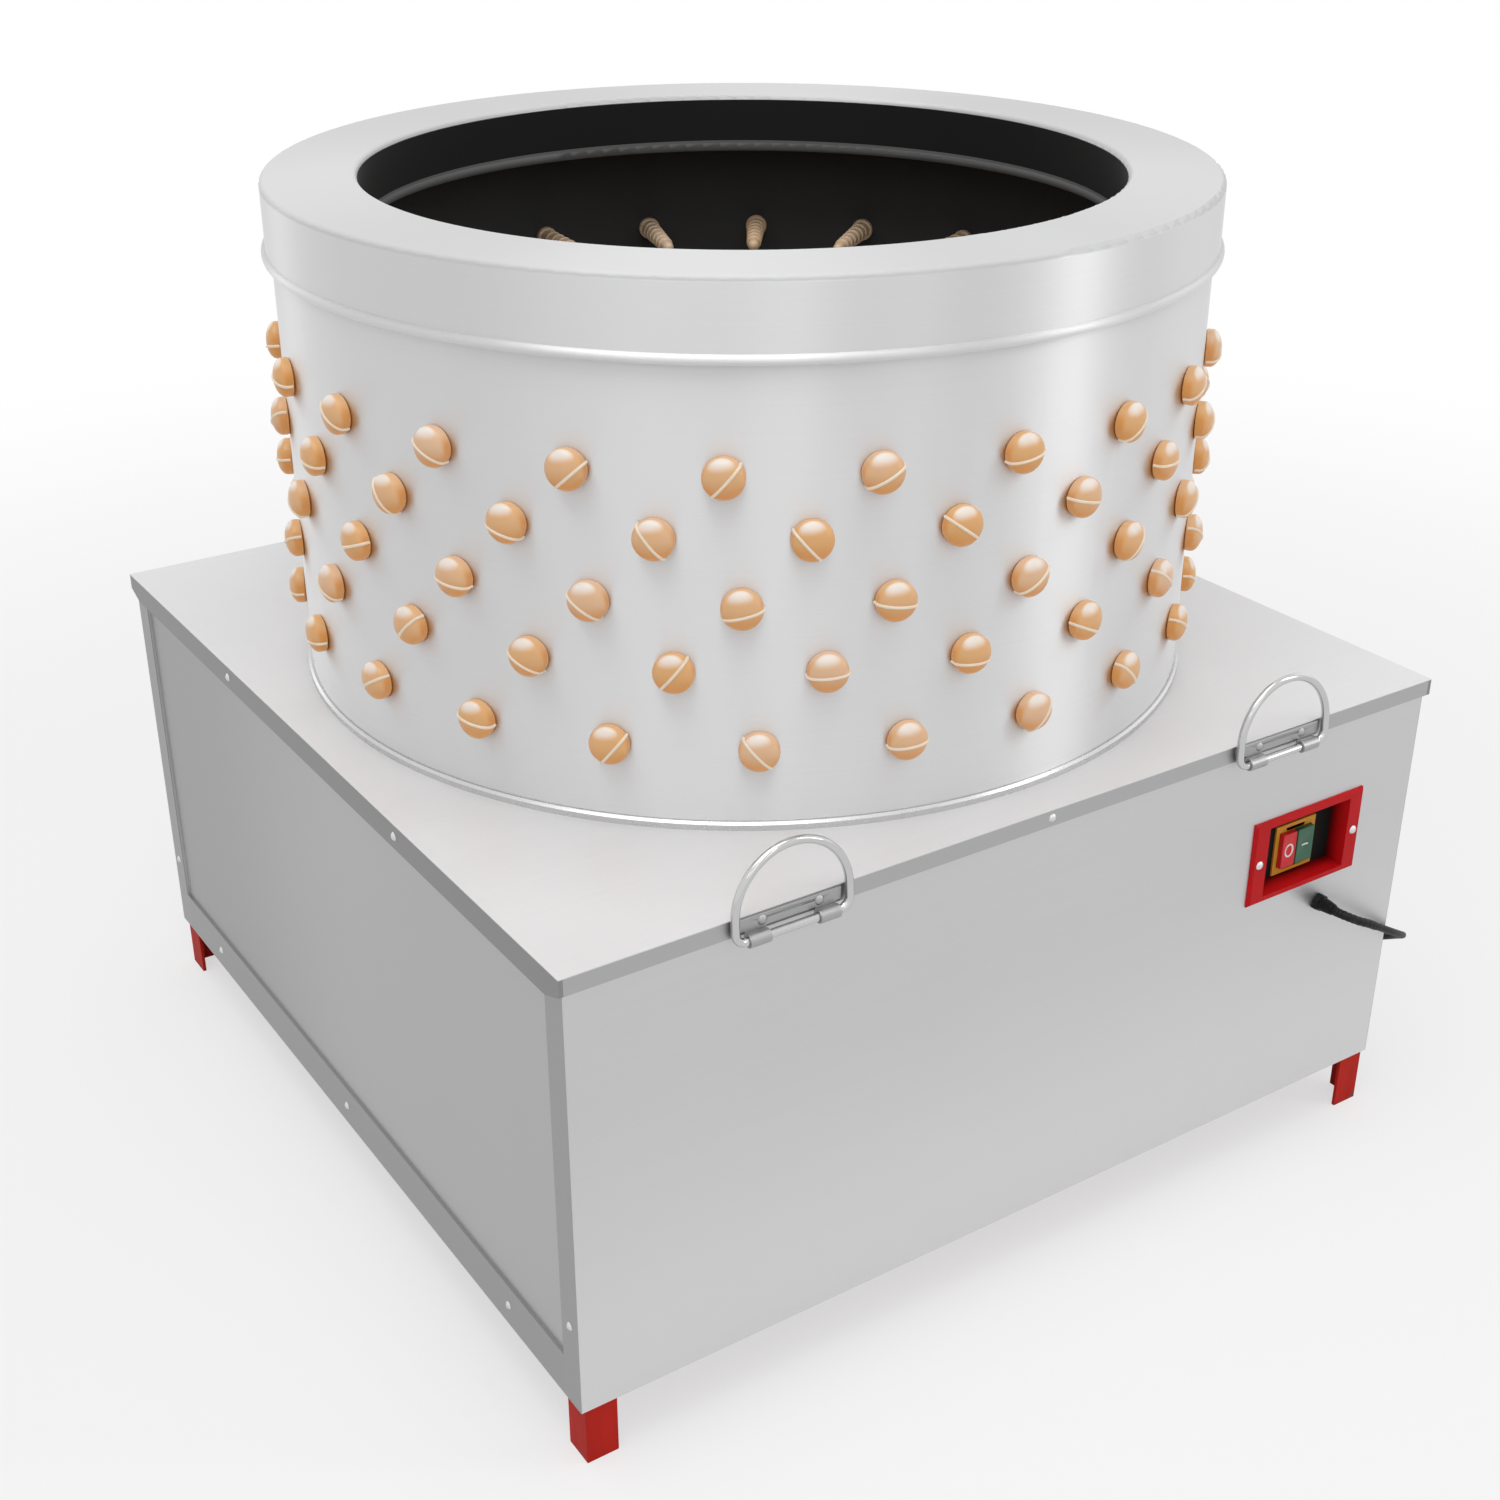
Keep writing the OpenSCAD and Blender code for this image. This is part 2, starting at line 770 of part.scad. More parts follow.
module tray_plan(inset, open) {
    polygon([
        [-tray_x + inset, tray_front + inset], [tray_x - inset, tray_front + inset],
        [tray_x - inset, tray_turn_y], [outlet_w/2 - inset, tray_back],
        [outlet_w/2 - inset, tray_back + open], [inset - outlet_w/2, tray_back + open],
        [inset - outlet_w/2, tray_back], [inset - tray_x, tray_turn_y]
    ]);
}

// Slab under the sloping floor, of the given thickness
module below_slope(depth) {
    span = 2*cabinet_w;
    translate([-span/2, tray_front, tray_high]) rotate([-tray_slope, 0, 0])
        translate([0, -span/2, -depth]) cube([span, span, depth]);
}

module feather_tray() {
    depth = tray_top - tray_foot;
    color(steel) difference() {
        union() {
            intersection() {
                translate([0, 0, tray_foot]) linear_extrude(depth) tray_plan(0, 0);
                below_slope(tray_t);
            }
            difference() {
                translate([0, 0, tray_foot]) linear_extrude(depth) tray_plan(0, 0);
                translate([0, 0, tray_foot - eps]) linear_extrude(depth + 2*eps) tray_plan(tray_t, eps);
                below_slope(cabinet_w);
            }
            difference() {
                translate([0, 0, tray_foot]) cylinder(r = neck_tube_r, h = neck_tube_top - tray_foot);
                below_slope(cabinet_w);
            }
        }
        translate([0, 0, tray_foot - eps])
            cylinder(r = neck_tube_r - tray_t, h = neck_tube_top - tray_foot + 2*eps);
        translate([-face, rail_y - tray_gap, lid_under - angle_w - tray_gap])
            cube([cabinet_w, angle_w + 2*tray_gap, angle_w + 2*tray_gap]);
    }
}

// Drum

module drum_shell() {
    color(steel) difference() {
        translate([0, 0, lid_top]) ring(drum_r, drum_r - drum_t, drum_h - drum_t - seat);
        for (row = [0:len(row_z) - 1])
            at_row(row) translate([0, 0, -drum_t - 4]) cylinder(r = finger_neck_r + seat, h = drum_t + 8);
    }
}

// Quarter of a bent sheet whose outer corner is at the origin and that turns down along the side
module bend_2d() {
    translate([-rim_bend, -rim_bend]) intersection() {
        difference() {
            circle(rim_bend);
            circle(rim_bend - drum_t);
        }
        square(rim_bend);
    }
}

module drum_rim() {
    color(steel) rotate_extrude($fn = 128) {
        translate([mouth_r + rim_bend, rim_top - drum_t])
            square([rim_r - mouth_r - 2*rim_bend, drum_t]);
        translate([rim_r, rim_top]) bend_2d();
        translate([mouth_r, rim_top]) mirror([1, 0]) bend_2d();
        translate([rim_r - drum_t, bead_z]) square([drum_t, collar_h - rim_bend]);
        translate([drum_r + seat + bead_r, bead_z]) circle(bead_r);
        translate([mouth_r, neck_z]) square([drum_t, neck_h - rim_bend]);
        translate([mouth_r + hem_r - hem_in, neck_z]) circle(hem_r);
    }
}

module drum_base_ring() {
    inner = drum_r + seat;
    outer = inner + ring_w;
    color(bright) translate([0, 0, lid_top]) rotate_extrude($fn = 128) polygon([
        [inner, 0], [outer, 0], [outer, ring_h - ring_w/2], [outer - ring_w/2, ring_h], [inner, ring_h]
    ]);
}

module wall_fingers_row_1() {
    wall_fingers(0);
}

module wall_fingers_row_2() {
    wall_fingers(1);
}

module wall_fingers_row_3() {
    wall_fingers(2);
}

module wall_fingers_row_4() {
    wall_fingers(3);
}

module wall_fingers_row_5() {
    wall_fingers(4);
}

// Rotor

module at_hub_bolts() {
    for (i = [0:hub_bolt_count - 1])
        rotate([0, 0, i*360/hub_bolt_count]) translate([hub_bolt_r, 0, plate_top]) children();
}

module rotor_plate() {
    color(steel) difference() {
        rotate_extrude($fn = 128) {
            translate([0, plate_under]) square([plate_r, plate_t]);
            translate([plate_r - plate_t, plate_top - plate_edge_h]) square([plate_t, plate_edge_h]);
        }
        translate([0, 0, plate_under - eps]) cylinder(r = shaft_r + seat, h = plate_t + 2*eps);
        at_ring(outer_ring_count, outer_ring_r) translate([0, 0, -plate_t - eps])
            cylinder(r = finger_neck_r + seat, h = plate_t + 2*eps);
        at_ring(inner_ring_count, inner_ring_r) translate([0, 0, -plate_t - eps])
            cylinder(r = finger_neck_r + seat, h = plate_t + 2*eps);
        at_hub_bolts() translate([0, 0, -plate_t - eps]) cylinder(r = bolt_r + seat, h = plate_t + 2*eps);
    }
}

module rotor_fingers_outer() {
    color(rubber) at_ring(outer_ring_count, outer_ring_r) finger(plate_t);
}

module rotor_fingers_inner() {
    color(rubber) at_ring(inner_ring_count, inner_ring_r) finger(plate_t);
}

module rotor_hub() {
    color(grey_iron) difference() {
        rotate_extrude() {
            translate([0, plate_under - hub_flange_t]) square([hub_flange_r, hub_flange_t]);
            translate([0, hub_bottom]) square([hub_boss_r, hub_len]);
            translate([drip_r - tray_t, plate_under - drip_len]) square([tray_t, drip_len - eps]);
        }
        translate([0, 0, hub_bottom - eps]) cylinder(r = shaft_r + seat, h = hub_len + 2*eps);
        at_hub_bolts() translate([0, 0, -plate_t - hub_flange_t - eps])
            cylinder(r = bolt_r + seat, h = hub_flange_t + plate_t + 2*eps);
    }
}

module rotor_hub_bolts() {
    color(bright) at_hub_bolts() hex_bolt(bolt_r, plate_t + hub_flange_t + 6);
}

module main_shaft() {
    color(bright) rotate_extrude() {
        translate([0, shaft_bottom]) square([shaft_r, plate_top - shaft_bottom]);
        translate([0, plate_top - eps]) square([thread_r, thread_len + eps]);
    }
}

module shaft_nut() {
    color(bright) translate([0, 0, plate_top]) difference() {
        union() {
            cylinder(r = nut_r + washer_w, h = washer_t);
            cylinder(r = nut_r, h = nut_h, $fn = 6);
        }
        translate([0, 0, -eps]) cylinder(r = thread_r + seat, h = nut_h + 2*eps);
    }
}

// Groove for the belt at a pulley's edge, wider than the belt by the given room
module groove_2d(r, grow) {
    half = belt_w/2 + grow;
    depth = belt_t + grow;
    polygon([
        [r + grow, -half - grow*tan(belt_angle)], [r + grow, half + grow*tan(belt_angle)],
        [r - depth, half - depth*tan(belt_angle)], [r - depth, depth*tan(belt_angle) - half]
    ]);
}

// Pulley with a V groove and a boss upwards
module pulley(r, bore, boss_r, boss_h, web) {
    translate([0, 0, pulley_mid]) rotate_extrude($fn = 96) difference() {
        union() {
            translate([bore, -pulley_w/2]) square([r - bore, pulley_w]);
            translate([bore, 0]) square([boss_r - bore, pulley_w/2 + boss_h]);
        }
        groove_2d(r, fit);
        if (web > 0) {
            for (side = [-1, 1])
                translate([boss_r + boss_wall, side*pulley_w/2 - web])
                    square([r - belt_t - 2*boss_wall - boss_r - boss_wall, 2*web]);
        }
    }
}

module driven_pulley() {
    spoke_holes = 5;
    hole_r = 26;
    web = 6;
    color(grey_iron) difference() {
        pulley(big_pulley_r, shaft_r + seat, hub_boss_r, pulley_room - 1, web);
        for (i = [0:spoke_holes - 1])
            rotate([0, 0, i*360/spoke_holes])
                translate([(big_pulley_r + hub_boss_r)/2 - boss_wall, 0, pulley_bottom - eps])
                cylinder(r = hole_r, h = pulley_w + 2*eps);
    }
}

// Spindle

module at_housing_bolts() {
    for (i = [0:bolt_count - 1]) rotate([0, 0, bolt_turn + i*360/bolt_count])
        translate([housing_bolt_r, 0, mount_top]) children();
}

module spindle_plate() {
    front = plate_split;
    color(red_paint) difference() {
        translate([-spindle_plate_w/2, front, beam_top])
            cube([spindle_plate_w, spindle_plate_back - front, mount_t]);
        translate([0, 0, beam_top - eps]) cylinder(r = shaft_r + boss_wall, h = mount_t + 2*eps);
        at_housing_bolts() translate([0, 0, -mount_t - eps]) cylinder(r = bolt_r + seat, h = mount_t + 2*eps);
    }
}

module gusset() {
    translate([0, mount_top, -gusset_t/2]) linear_extrude(gusset_t) polygon([
        [housing_r - gusset_foot, housing_flange_t/2], [housing_flange_r - gusset_foot, housing_flange_t/2],
        [housing_flange_r - gusset_foot, housing_flange_t + gusset_foot], [housing_r, gusset_h],
        [housing_r - gusset_foot, gusset_h]
    ]);
}

module spindle_housing() {
    color(grey_iron) difference() {
        union() {
            translate([0, 0, mount_top]) rotate_extrude() {
                square([housing_flange_r, housing_flange_t]);
                square([housing_r, housing_h]);
            }
            for (i = [0:gusset_count - 1]) rotate([90, 0, i*360/gusset_count]) gusset();
        }
        translate([0, 0, mount_top - eps]) cylinder(r = housing_bore_r, h = housing_h + 2*eps);
        translate([0, 0, mount_top - eps]) cylinder(r = bearing_r + seat, h = bearing_w + eps);
        translate([0, 0, housing_top - bearing_w]) cylinder(r = bearing_r + seat, h = bearing_w + eps);
        at_housing_bolts() translate([0, 0, -eps]) cylinder(r = bolt_r + seat, h = housing_flange_t + 2*eps);
    }
}

module spindle_bolts() {
    color(bright) at_housing_bolts() translate([0, 0, housing_flange_t])
        hex_bolt(bolt_r, housing_flange_t + mount_t);
}

module bearing() {
    shield_w = 7;
    shield_d = 1;
    middle = (bearing_r + shaft_r)/2;
    rotate_extrude() difference() {
        translate([shaft_r + run, 0]) square([bearing_r - shaft_r - run, bearing_w]);
        for (z = [0, bearing_w])
            translate([middle - shield_w/2, z - shield_d]) square([shield_w, 2*shield_d]);
    }
}

module upper_bearing() {
    color(bright) translate([0, 0, housing_top - bearing_w]) bearing();
}

module lower_bearing() {
    color(bright) translate([0, 0, mount_top]) bearing();
}

// Motor

module at_motor_bolts() {
    translate([0, motor_y, mount_top]) for (i = [0:bolt_count - 1])
        rotate([0, 0, bolt_turn + i*360/bolt_count]) translate([motor_bolt_r, 0, 0]) children();
}

module motor_plate() {
    back = plate_split - 2;
    front = motor_beam_y - beam_w/2;
    half = motor_flange_r + shaft_room;
    color(red_paint) difference() {
        translate([-half, front, beam_top]) cube([2*half, back - front, mount_t]);
        translate([0, motor_y, beam_top - eps]) cylinder(r = motor_shaft_r + shaft_room, h = mount_t + 2*eps);
        at_motor_bolts() translate([0, 0, -mount_t - eps]) cylinder(r = bolt_r + seat, h = mount_t + 2*eps);
    }
}

module motor_flange() {
    color(grey_iron) difference() {
        translate([0, motor_y, mount_top]) rotate_extrude() difference() {
            square([motor_flange_r, flange_t]);
            translate([motor_r + fin_h + 1, flange_t - flange_step])
                square([motor_flange_r, flange_step + eps]);
            square([motor_shaft_r + fit, flange_t]);
        }
        at_motor_bolts() translate([0, 0, -eps]) cylinder(r = bolt_r + seat, h = flange_t + 2*eps);
    }
}

module motor_body() {
    fin_t = 2.2;
    color(grey_iron) translate([0, motor_y, body_bottom]) difference() {
        linear_extrude(motor_body_h) {
            circle(motor_r);
            for (i = [0:fin_count - 1]) rotate(i*360/fin_count)
                translate([motor_r - 2, -fin_t/2]) square([fin_h + 2, fin_t]);
        }
        translate([0, 0, -eps]) cylinder(r = motor_shaft_r + fit, h = motor_body_h/2 + eps);
        translate([box_x, -box_w/2, box_z]) cube([box_d, box_w, box_h]);
    }
}

module motor_fan_cover() {
    cover_r = motor_r + fin_h + 1;
    wall = 1.5;
    round = 10;
    slot_count = 12;
    slot_w = 5;
    slot_r = 22;
    color(grey_iron) translate([0, motor_y, body_top]) difference() {
        rotate_extrude() difference() {
            union() {
                square([cover_r, fan_cover_h - round]);
                square([cover_r - round, fan_cover_h]);
                translate([cover_r - round, fan_cover_h - round]) circle(round);
            }
            translate([0, -eps]) square([cover_r - wall, fan_cover_h - round + eps]);
            square([cover_r - round, fan_cover_h - wall]);
        }
        for (i = [0:slot_count - 1]) rotate([0, 0, i*360/slot_count])
            translate([slot_r, -slot_w/2, fan_cover_h - 2*wall])
                cube([cover_r - slot_r - 1.6*round, slot_w, 4*wall]);
    }
}

module motor_terminal_box() {
    color(grey_iron) translate([box_x + seat, motor_y, body_bottom + box_z + seat]) {
        translate([0, seat - box_w/2, 0]) cube([box_d, box_w - 2*seat, box_h - 2*seat]);
        translate([box_d - eps, -box_w/2 - box_lid_edge, -box_lid_edge])
            cube([box_lid_t + eps, box_w + 2*box_lid_edge, box_h + 2*box_lid_edge]);
        translate([box_d/2 + box_lid_edge, seat - box_w/2 - box_gland_h, box_h/2]) rotate([-90, 0, 0])
            cylinder(r = box_gland_r, h = box_gland_h + eps);
    }
}

module motor_bolts() {
    color(bright) at_motor_bolts() translate([0, 0, flange_t - flange_step])
        hex_bolt(bolt_r, flange_t - flange_step + mount_t);
}

module motor_shaft() {
    color(bright) translate([0, motor_y, shaft_bottom])
        cylinder(r = motor_shaft_r, h = body_bottom + motor_body_h/2 - shaft_room/2 - shaft_bottom);
}

module motor_pulley() {
    color(grey_iron) translate([0, motor_y, 0])
        pulley(small_pulley_r, motor_shaft_r + seat, motor_shaft_r + boss_wall, pulley_room - 1, 0);
}

// V-belt: one closed loop of sections round both pulleys and along the straight runs between them
function belt_arc(first, turn, steps, y, r) = [for (i = [0:steps]) [first + turn*i/steps, y, r]];
belt_stations = concat(
    belt_arc(-belt_lean, half_turn + 2*belt_lean, belt_steps, 0, big_pulley_r),
    belt_arc(half_turn + belt_lean, half_turn - 2*belt_lean, belt_steps/2, motor_y, small_pulley_r)
);
function belt_corners(r) = [
    [r, -belt_w/2], [r, belt_w/2],
    [r - belt_t, belt_w/2 - belt_t*tan(belt_angle)], [r - belt_t, belt_t*tan(belt_angle) - belt_w/2]
];

module v_belt() {
    count = len(belt_stations);
    points = [for (s = belt_stations) for (c = belt_corners(s[2]))
        [c[0]*cos(s[0]), s[1] + c[0]*sin(s[0]), pulley_mid + c[1]]];
    faces = [for (i = [0:count - 1]) for (j = [0:3])
        let (a = 4*i + j, b = 4*i + (j + 1)%4, c = 4*((i + 1)%count) + j, d = 4*((i + 1)%count) + (j + 1)%4)
        each [[a, b, c], [b, d, c]]];
    color(black) polyhedron(points, faces);
}

// Switch

// Box whose front opening narrows towards its floor
module recess_cut() {
    w = recess_w;
    h = recess_h;
    hull() {
        translate([switch_x - w/2, switch_face - eps, switch_z - h/2]) cube([w, eps, h]);
        translate([switch_x - w/2 + recess_taper, recess_floor - seat, switch_z - h/2 + recess_taper])
            cube([w - 2*recess_taper, seat, h - 2*recess_taper]);
    }
}

module at_switch_screws() {
    for (side = [-1, 1])
        translate([switch_x + side*switch_screw_x, switch_face, switch_z]) rotate([90, 0, 0]) children();
}

module switch_housing() {
    lip = 1;
    bevel = switch_proud - lip;
    color([0.75, 0.1, 0.11]) difference() {
        union() {
            hull() {
                translate([switch_x - switch_w/2, -face - lip, switch_z - switch_h/2])
                    cube([switch_w, lip, switch_h]);
                translate([switch_x - switch_w/2 + bevel, switch_face, switch_z - switch_h/2 + bevel])
                    cube([switch_w - 2*bevel, lip, switch_h - 2*bevel]);
            }
            translate([switch_x - sleeve_w/2, -face - eps, switch_z - sleeve_h/2])
                cube([sleeve_w, recess_d + eps, sleeve_h]);
        }
        recess_cut();
        at_switch_screws() screw_hole(switch_proud + eps);
    }
}

module button_pocket(x, w) {
    translate([x - w/2 - fit, recess_floor - eps, plate_z - button_h/2 - fit])
        cube([w + 2*fit, button_back - recess_floor + button_travel + 1 + eps, button_h + 2*fit]);
}

module switch_block() {
    color(black) difference() {
        union() {
            translate([switch_x - sleeve_w/2, recess_floor, switch_z - sleeve_h/2])
                cube([sleeve_w, block_t, sleeve_h]);
            translate([plate_x - button_plate_w/2, recess_floor, plate_z - button_plate_w/2])
                cube([button_plate_w, block_d, button_plate_w]);
        }
        button_pocket(stop_x, stop_w);
        button_pocket(start_x, start_w);
    }
}

module switch_plate() {
    color([0.8, 0.6, 0.2]) difference() {
        translate([plate_x - button_plate_w/2, plate_face, plate_z - button_plate_w/2])
            cube([button_plate_w, button_plate_t, button_plate_w]);
        for (b = [[stop_x, stop_w], [start_x, start_w]])
            translate([b[0] - b[1]/2 - fit, plate_face - eps, plate_z - button_h/2 - fit])
                cube([b[1] + 2*fit, button_plate_t + 2*eps, button_h + 2*fit]);
    }
}

module switch_screws() {
    color(bright) at_switch_screws() dome_screw(large_head_r, large_head_h, screw_r, switch_proud);
}

module button(x, w) {
    translate([x - w/2, button_front, plate_z - button_h/2]) cube([w, button_back - button_front, button_h]);
}

module stop_button() {
    color([0.8, 0.15, 0.15]) difference() {
        button(stop_x, stop_w);
        translate([stop_x, button_front + dish_depth - dish_r, plate_z]) sphere(dish_r);
    }
}

module start_button() {
    color([0.16, 0.4, 0.28]) difference() {
        button(start_x, start_w);
        translate([start_x, button_front + dish_depth - dish_r, plate_z]) sphere(dish_r);
    }
}

// Handles

module at_handles() {
    for (x = [-handle_x, handle_x]) translate([x, 0, 0]) children();
}

module at_handle_screws() {
    at_handles() for (x = [-handle_screw_x, handle_screw_x])
        translate([x, -skirt_out - handle_plate_t, handle_screw_z]) rotate([90, 0, 0]) children();
}

module handle_plates() {
    color(bright) difference() {
        at_handles() difference() {
            union() {
                translate([-handle_plate_x, -skirt_out - handle_plate_t, handle_plate_low])
                    cube([2*handle_plate_x, handle_plate_t, handle_plate_top - handle_plate_low]);
                for (side = [-1, 1]) translate([side*knuckle_x - knuckle_w/2, 0, 0]) {
                    translate([0, -skirt_out - handle_plate_t, pivot_z])
                        cube([knuckle_w, handle_plate_t, handle_plate_low + eps - pivot_z]);
                    translate([0, pivot_y, pivot_z]) rotate([0, 90, 0])
                        cylinder(r = knuckle_r, h = knuckle_w);
                }
            }
            translate([-arch_r, pivot_y, pivot_z]) rotate([0, 90, 0])
                cylinder(r = wire_r + run, h = 2*arch_r);
        }
        at_handle_screws() screw_hole(handle_plate_t + eps);
    }
}

module handle_screws() {
    color(bright) at_handle_screws() dome_screw(large_head_r, large_head_h, screw_r, handle_plate_t);
}

// Bail of round wire: straight bar, two bent corners, two legs and an arch
module bail() {
    translate([0, pivot_y, pivot_z]) rotate([90 - handle_lean, 0, 0]) {
        translate([corner_r - arch_r, 0, 0]) rotate([0, 90, 0])
            cylinder(r = wire_r, h = 2*(arch_r - corner_r));
        mirror_x() {
            translate([arch_r - corner_r, corner_r, 0]) rotate([0, 0, -90]) rotate_extrude(angle = 90)
                translate([corner_r, 0]) circle(wire_r);
            translate([arch_r, corner_r, 0]) rotate([-90, 0, 0]) cylinder(r = wire_r, h = arch_z - corner_r);
        }
        translate([0, arch_z, 0]) rotate_extrude(angle = 180) translate([arch_r, 0]) circle(wire_r);
    }
}

module left_bail() {
    color(bright) translate([-handle_x, 0, 0]) bail();
}

module right_bail() {
    color(bright) translate([handle_x, 0, 0]) bail();
}

// Gland and cord

module cable_gland() {
    color(black) translate([gland_x, -face, gland_z]) rotate([90, 0, 0]) {
        cylinder(r = gland_r, h = gland_hex_h, $fn = 6);
        rotate_extrude() {
            square([gland_neck_r, gland_neck_h]);
            polygon([
                [0, gland_neck_h - 1], [gland_neck_r, gland_neck_h - 1],
                [boot_r + 2*fit, gland_len], [0, gland_len]
            ]);
            translate([0, -gland_thread_len]) square([gland_thread_r, gland_thread_len + 1]);
        }
    }
}

module cord_boot() {
    p = smooth(boot_route, 2);
    last = len(p) - 1;
    color(black) tube(p, [for (i = [0:last]) boot_r + (boot_end_r - boot_r)*i/last], boot_sides);
}

module power_cord() {
    color(black) tube(cord_path, [for (i = [0:len(cord_path) - 1]) cord_r], cord_sides);
}

module cord_coil() {
    color(black) tube(coil_path, [for (i = [0:len(coil_path) - 1]) cord_r], coil_sides);
}

// Flat band round all the turns on the side away from the cabinet
module cord_tie() {
    inside = coil_inner - cord_r - fit - coil_dip;
    outside = coil_r + cord_r + fit;
    low = coil_z - cord_r - fit;
    high = coil_z + layer_step + cord_r + fit;
    color([0.12, 0.12, 0.12]) translate([coil_x, coil_y, 0]) rotate([0, 0, 90])
        rotate([90, 0, 0]) translate([0, 0, -tie_w/2]) linear_extrude(tie_w) difference() {
            translate([inside - tie_t, low - tie_t])
                square([outside - inside + 2*tie_t, high - low + 2*tie_t]);
            translate([inside, low]) square([outside - inside, high - low]);
        }
}

module plug() {
    shoulder = plug_sleeve + 4;
    front = plug_sleeve + plug_len;
    color(black) translate([coil_end_point[0], coil_end_point[1] - cord_d, plug_z]) rotate([90, 0, 0]) {
        rotate_extrude($fn = 48) polygon([
            [0, 0], [cord_r + 1, 0], [cord_r + 2, plug_sleeve], [plug_r - 3, shoulder],
            [plug_r - 2, plug_sleeve + plug_grip], [plug_r, front - plug_face_h], [plug_r, front], [0, front]
        ]);
        for (side = [-1, 1]) translate([side*pin_x, 0, front - eps]) {
            cylinder(r = pin_r, h = pin_len + eps - pin_r);
            translate([0, 0, pin_len + eps - pin_r]) sphere(pin_r);
        }
    }
}

corner_legs();
top_rails();
bottom_rails();
cross_beams();
lid();
front_panel();
back_panel();
left_panel();
right_panel();
side_sills();
panel_screws();
feather_tray();
drum_shell();
drum_rim();
drum_base_ring();
wall_fingers_row_1();
wall_fingers_row_2();
wall_fingers_row_3();
wall_fingers_row_4();
wall_fingers_row_5();
rotor_plate();
rotor_fingers_outer();
rotor_fingers_inner();
rotor_hub();
rotor_hub_bolts();
main_shaft();
shaft_nut();
driven_pulley();
spindle_plate();
spindle_housing();
spindle_bolts();
upper_bearing();
lower_bearing();
motor_plate();
motor_flange();
motor_body();
motor_fan_cover();
motor_terminal_box();
motor_bolts();
motor_shaft();
motor_pulley();
v_belt();
switch_housing();
switch_block();
switch_plate();
switch_screws();
stop_button();
start_button();
handle_plates();
handle_screws();
left_bail();
right_bail();
cable_gland();
cord_boot();
power_cord();
cord_coil();
cord_tie();
plug();
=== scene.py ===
"""Looks of a free-standing poultry plucker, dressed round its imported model.

Lengths are in metres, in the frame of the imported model: the origin is on the floor under the
drum's axis, the switch side faces -Y and the left side faces -X.
"""

import json
import logging
import math
import random
from collections.abc import Callable, Iterable, Sequence
from dataclasses import dataclass, field, replace
from enum import Enum
from typing import TypeAlias

import bmesh
import bpy
from mathutils import Matrix, Vector

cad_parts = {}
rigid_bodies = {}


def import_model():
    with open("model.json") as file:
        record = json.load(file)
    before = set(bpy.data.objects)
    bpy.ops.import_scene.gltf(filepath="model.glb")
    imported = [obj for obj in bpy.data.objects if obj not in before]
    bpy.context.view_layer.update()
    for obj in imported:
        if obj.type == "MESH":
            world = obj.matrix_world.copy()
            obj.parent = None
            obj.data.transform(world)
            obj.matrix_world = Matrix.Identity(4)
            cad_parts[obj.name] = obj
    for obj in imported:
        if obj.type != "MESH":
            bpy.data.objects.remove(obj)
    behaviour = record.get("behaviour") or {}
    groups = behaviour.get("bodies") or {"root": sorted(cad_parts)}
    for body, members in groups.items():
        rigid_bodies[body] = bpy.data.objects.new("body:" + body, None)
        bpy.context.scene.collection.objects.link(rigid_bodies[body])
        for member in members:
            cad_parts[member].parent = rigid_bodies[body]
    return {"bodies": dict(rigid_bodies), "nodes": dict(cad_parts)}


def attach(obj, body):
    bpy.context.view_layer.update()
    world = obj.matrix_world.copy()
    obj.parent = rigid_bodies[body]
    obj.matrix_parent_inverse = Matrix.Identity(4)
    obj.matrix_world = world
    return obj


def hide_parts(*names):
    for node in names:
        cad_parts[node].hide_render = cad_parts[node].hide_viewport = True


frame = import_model()
for stray in set(bpy.data.objects) - set(frame["nodes"].values()) - set(frame["bodies"].values()):
    bpy.data.objects.remove(stray)
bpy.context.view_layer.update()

LOG = logging.getLogger("plucker")
MM = 0.001

Rgb: TypeAlias = tuple[float, float, float]
Point: TypeAlias = tuple[float, float, float]
Number: TypeAlias = "Value | float"
Feed: TypeAlias = "Value | float | tuple[float, ...]"
Look: TypeAlias = "dict[str | int, Feed]"
Profile: TypeAlias = tuple[tuple[float, float], ...]

WHITE = (1.0, 1.0, 1.0, 1.0)


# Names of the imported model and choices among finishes


class Body(Enum):
    """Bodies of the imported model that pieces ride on."""

    MACHINE = "machine"
    ROTOR = "rotor"
    STOP_KEY = "stop_key"
    START_KEY = "start_key"


class Slot(Enum):
    """Material slots of the record."""

    RED_PAINT = "red_paint"
    CABINET_STEEL = "cabinet_steel"
    DRUM_STEEL = "drum_steel"
    BRIGHT_STEEL = "bright_steel"
    CHROME = "handle_chrome"
    FINGER_RUBBER = "finger_rubber"
    CAST_IRON = "cast_iron"
    MOTOR_PAINT = "motor_paint"
    BELT_RUBBER = "belt_rubber"
    SWITCH_RED = "switch_red"
    SWITCH_BLACK = "switch_black"
    SWITCH_YELLOW = "switch_yellow"
    STOP_RED = "stop_red"
    START_GREEN = "start_green"
    CORD_BLACK = "cord_black"


class Grain(Enum):
    """How fast the brush lines change along X, Y and Z."""

    ALONG_X = (5.0, 900.0, 900.0)
    ALONG_Y = (900.0, 5.0, 900.0)
    ROUND = (4.0, 4.0, 900.0)
    FLAT = (60.0, 60.0, 60.0)


class Zone(Enum):
    """Part of a sheet whose colour is changed by position: painted shade, with painted light beside
    some zones.
    """

    NONE = "none"
    SKIRT = "skirt"
    FLANGE = "flange"
    INSIDE_SHADE = "lining"
    NECK = "neck"
    FADE = "fade"
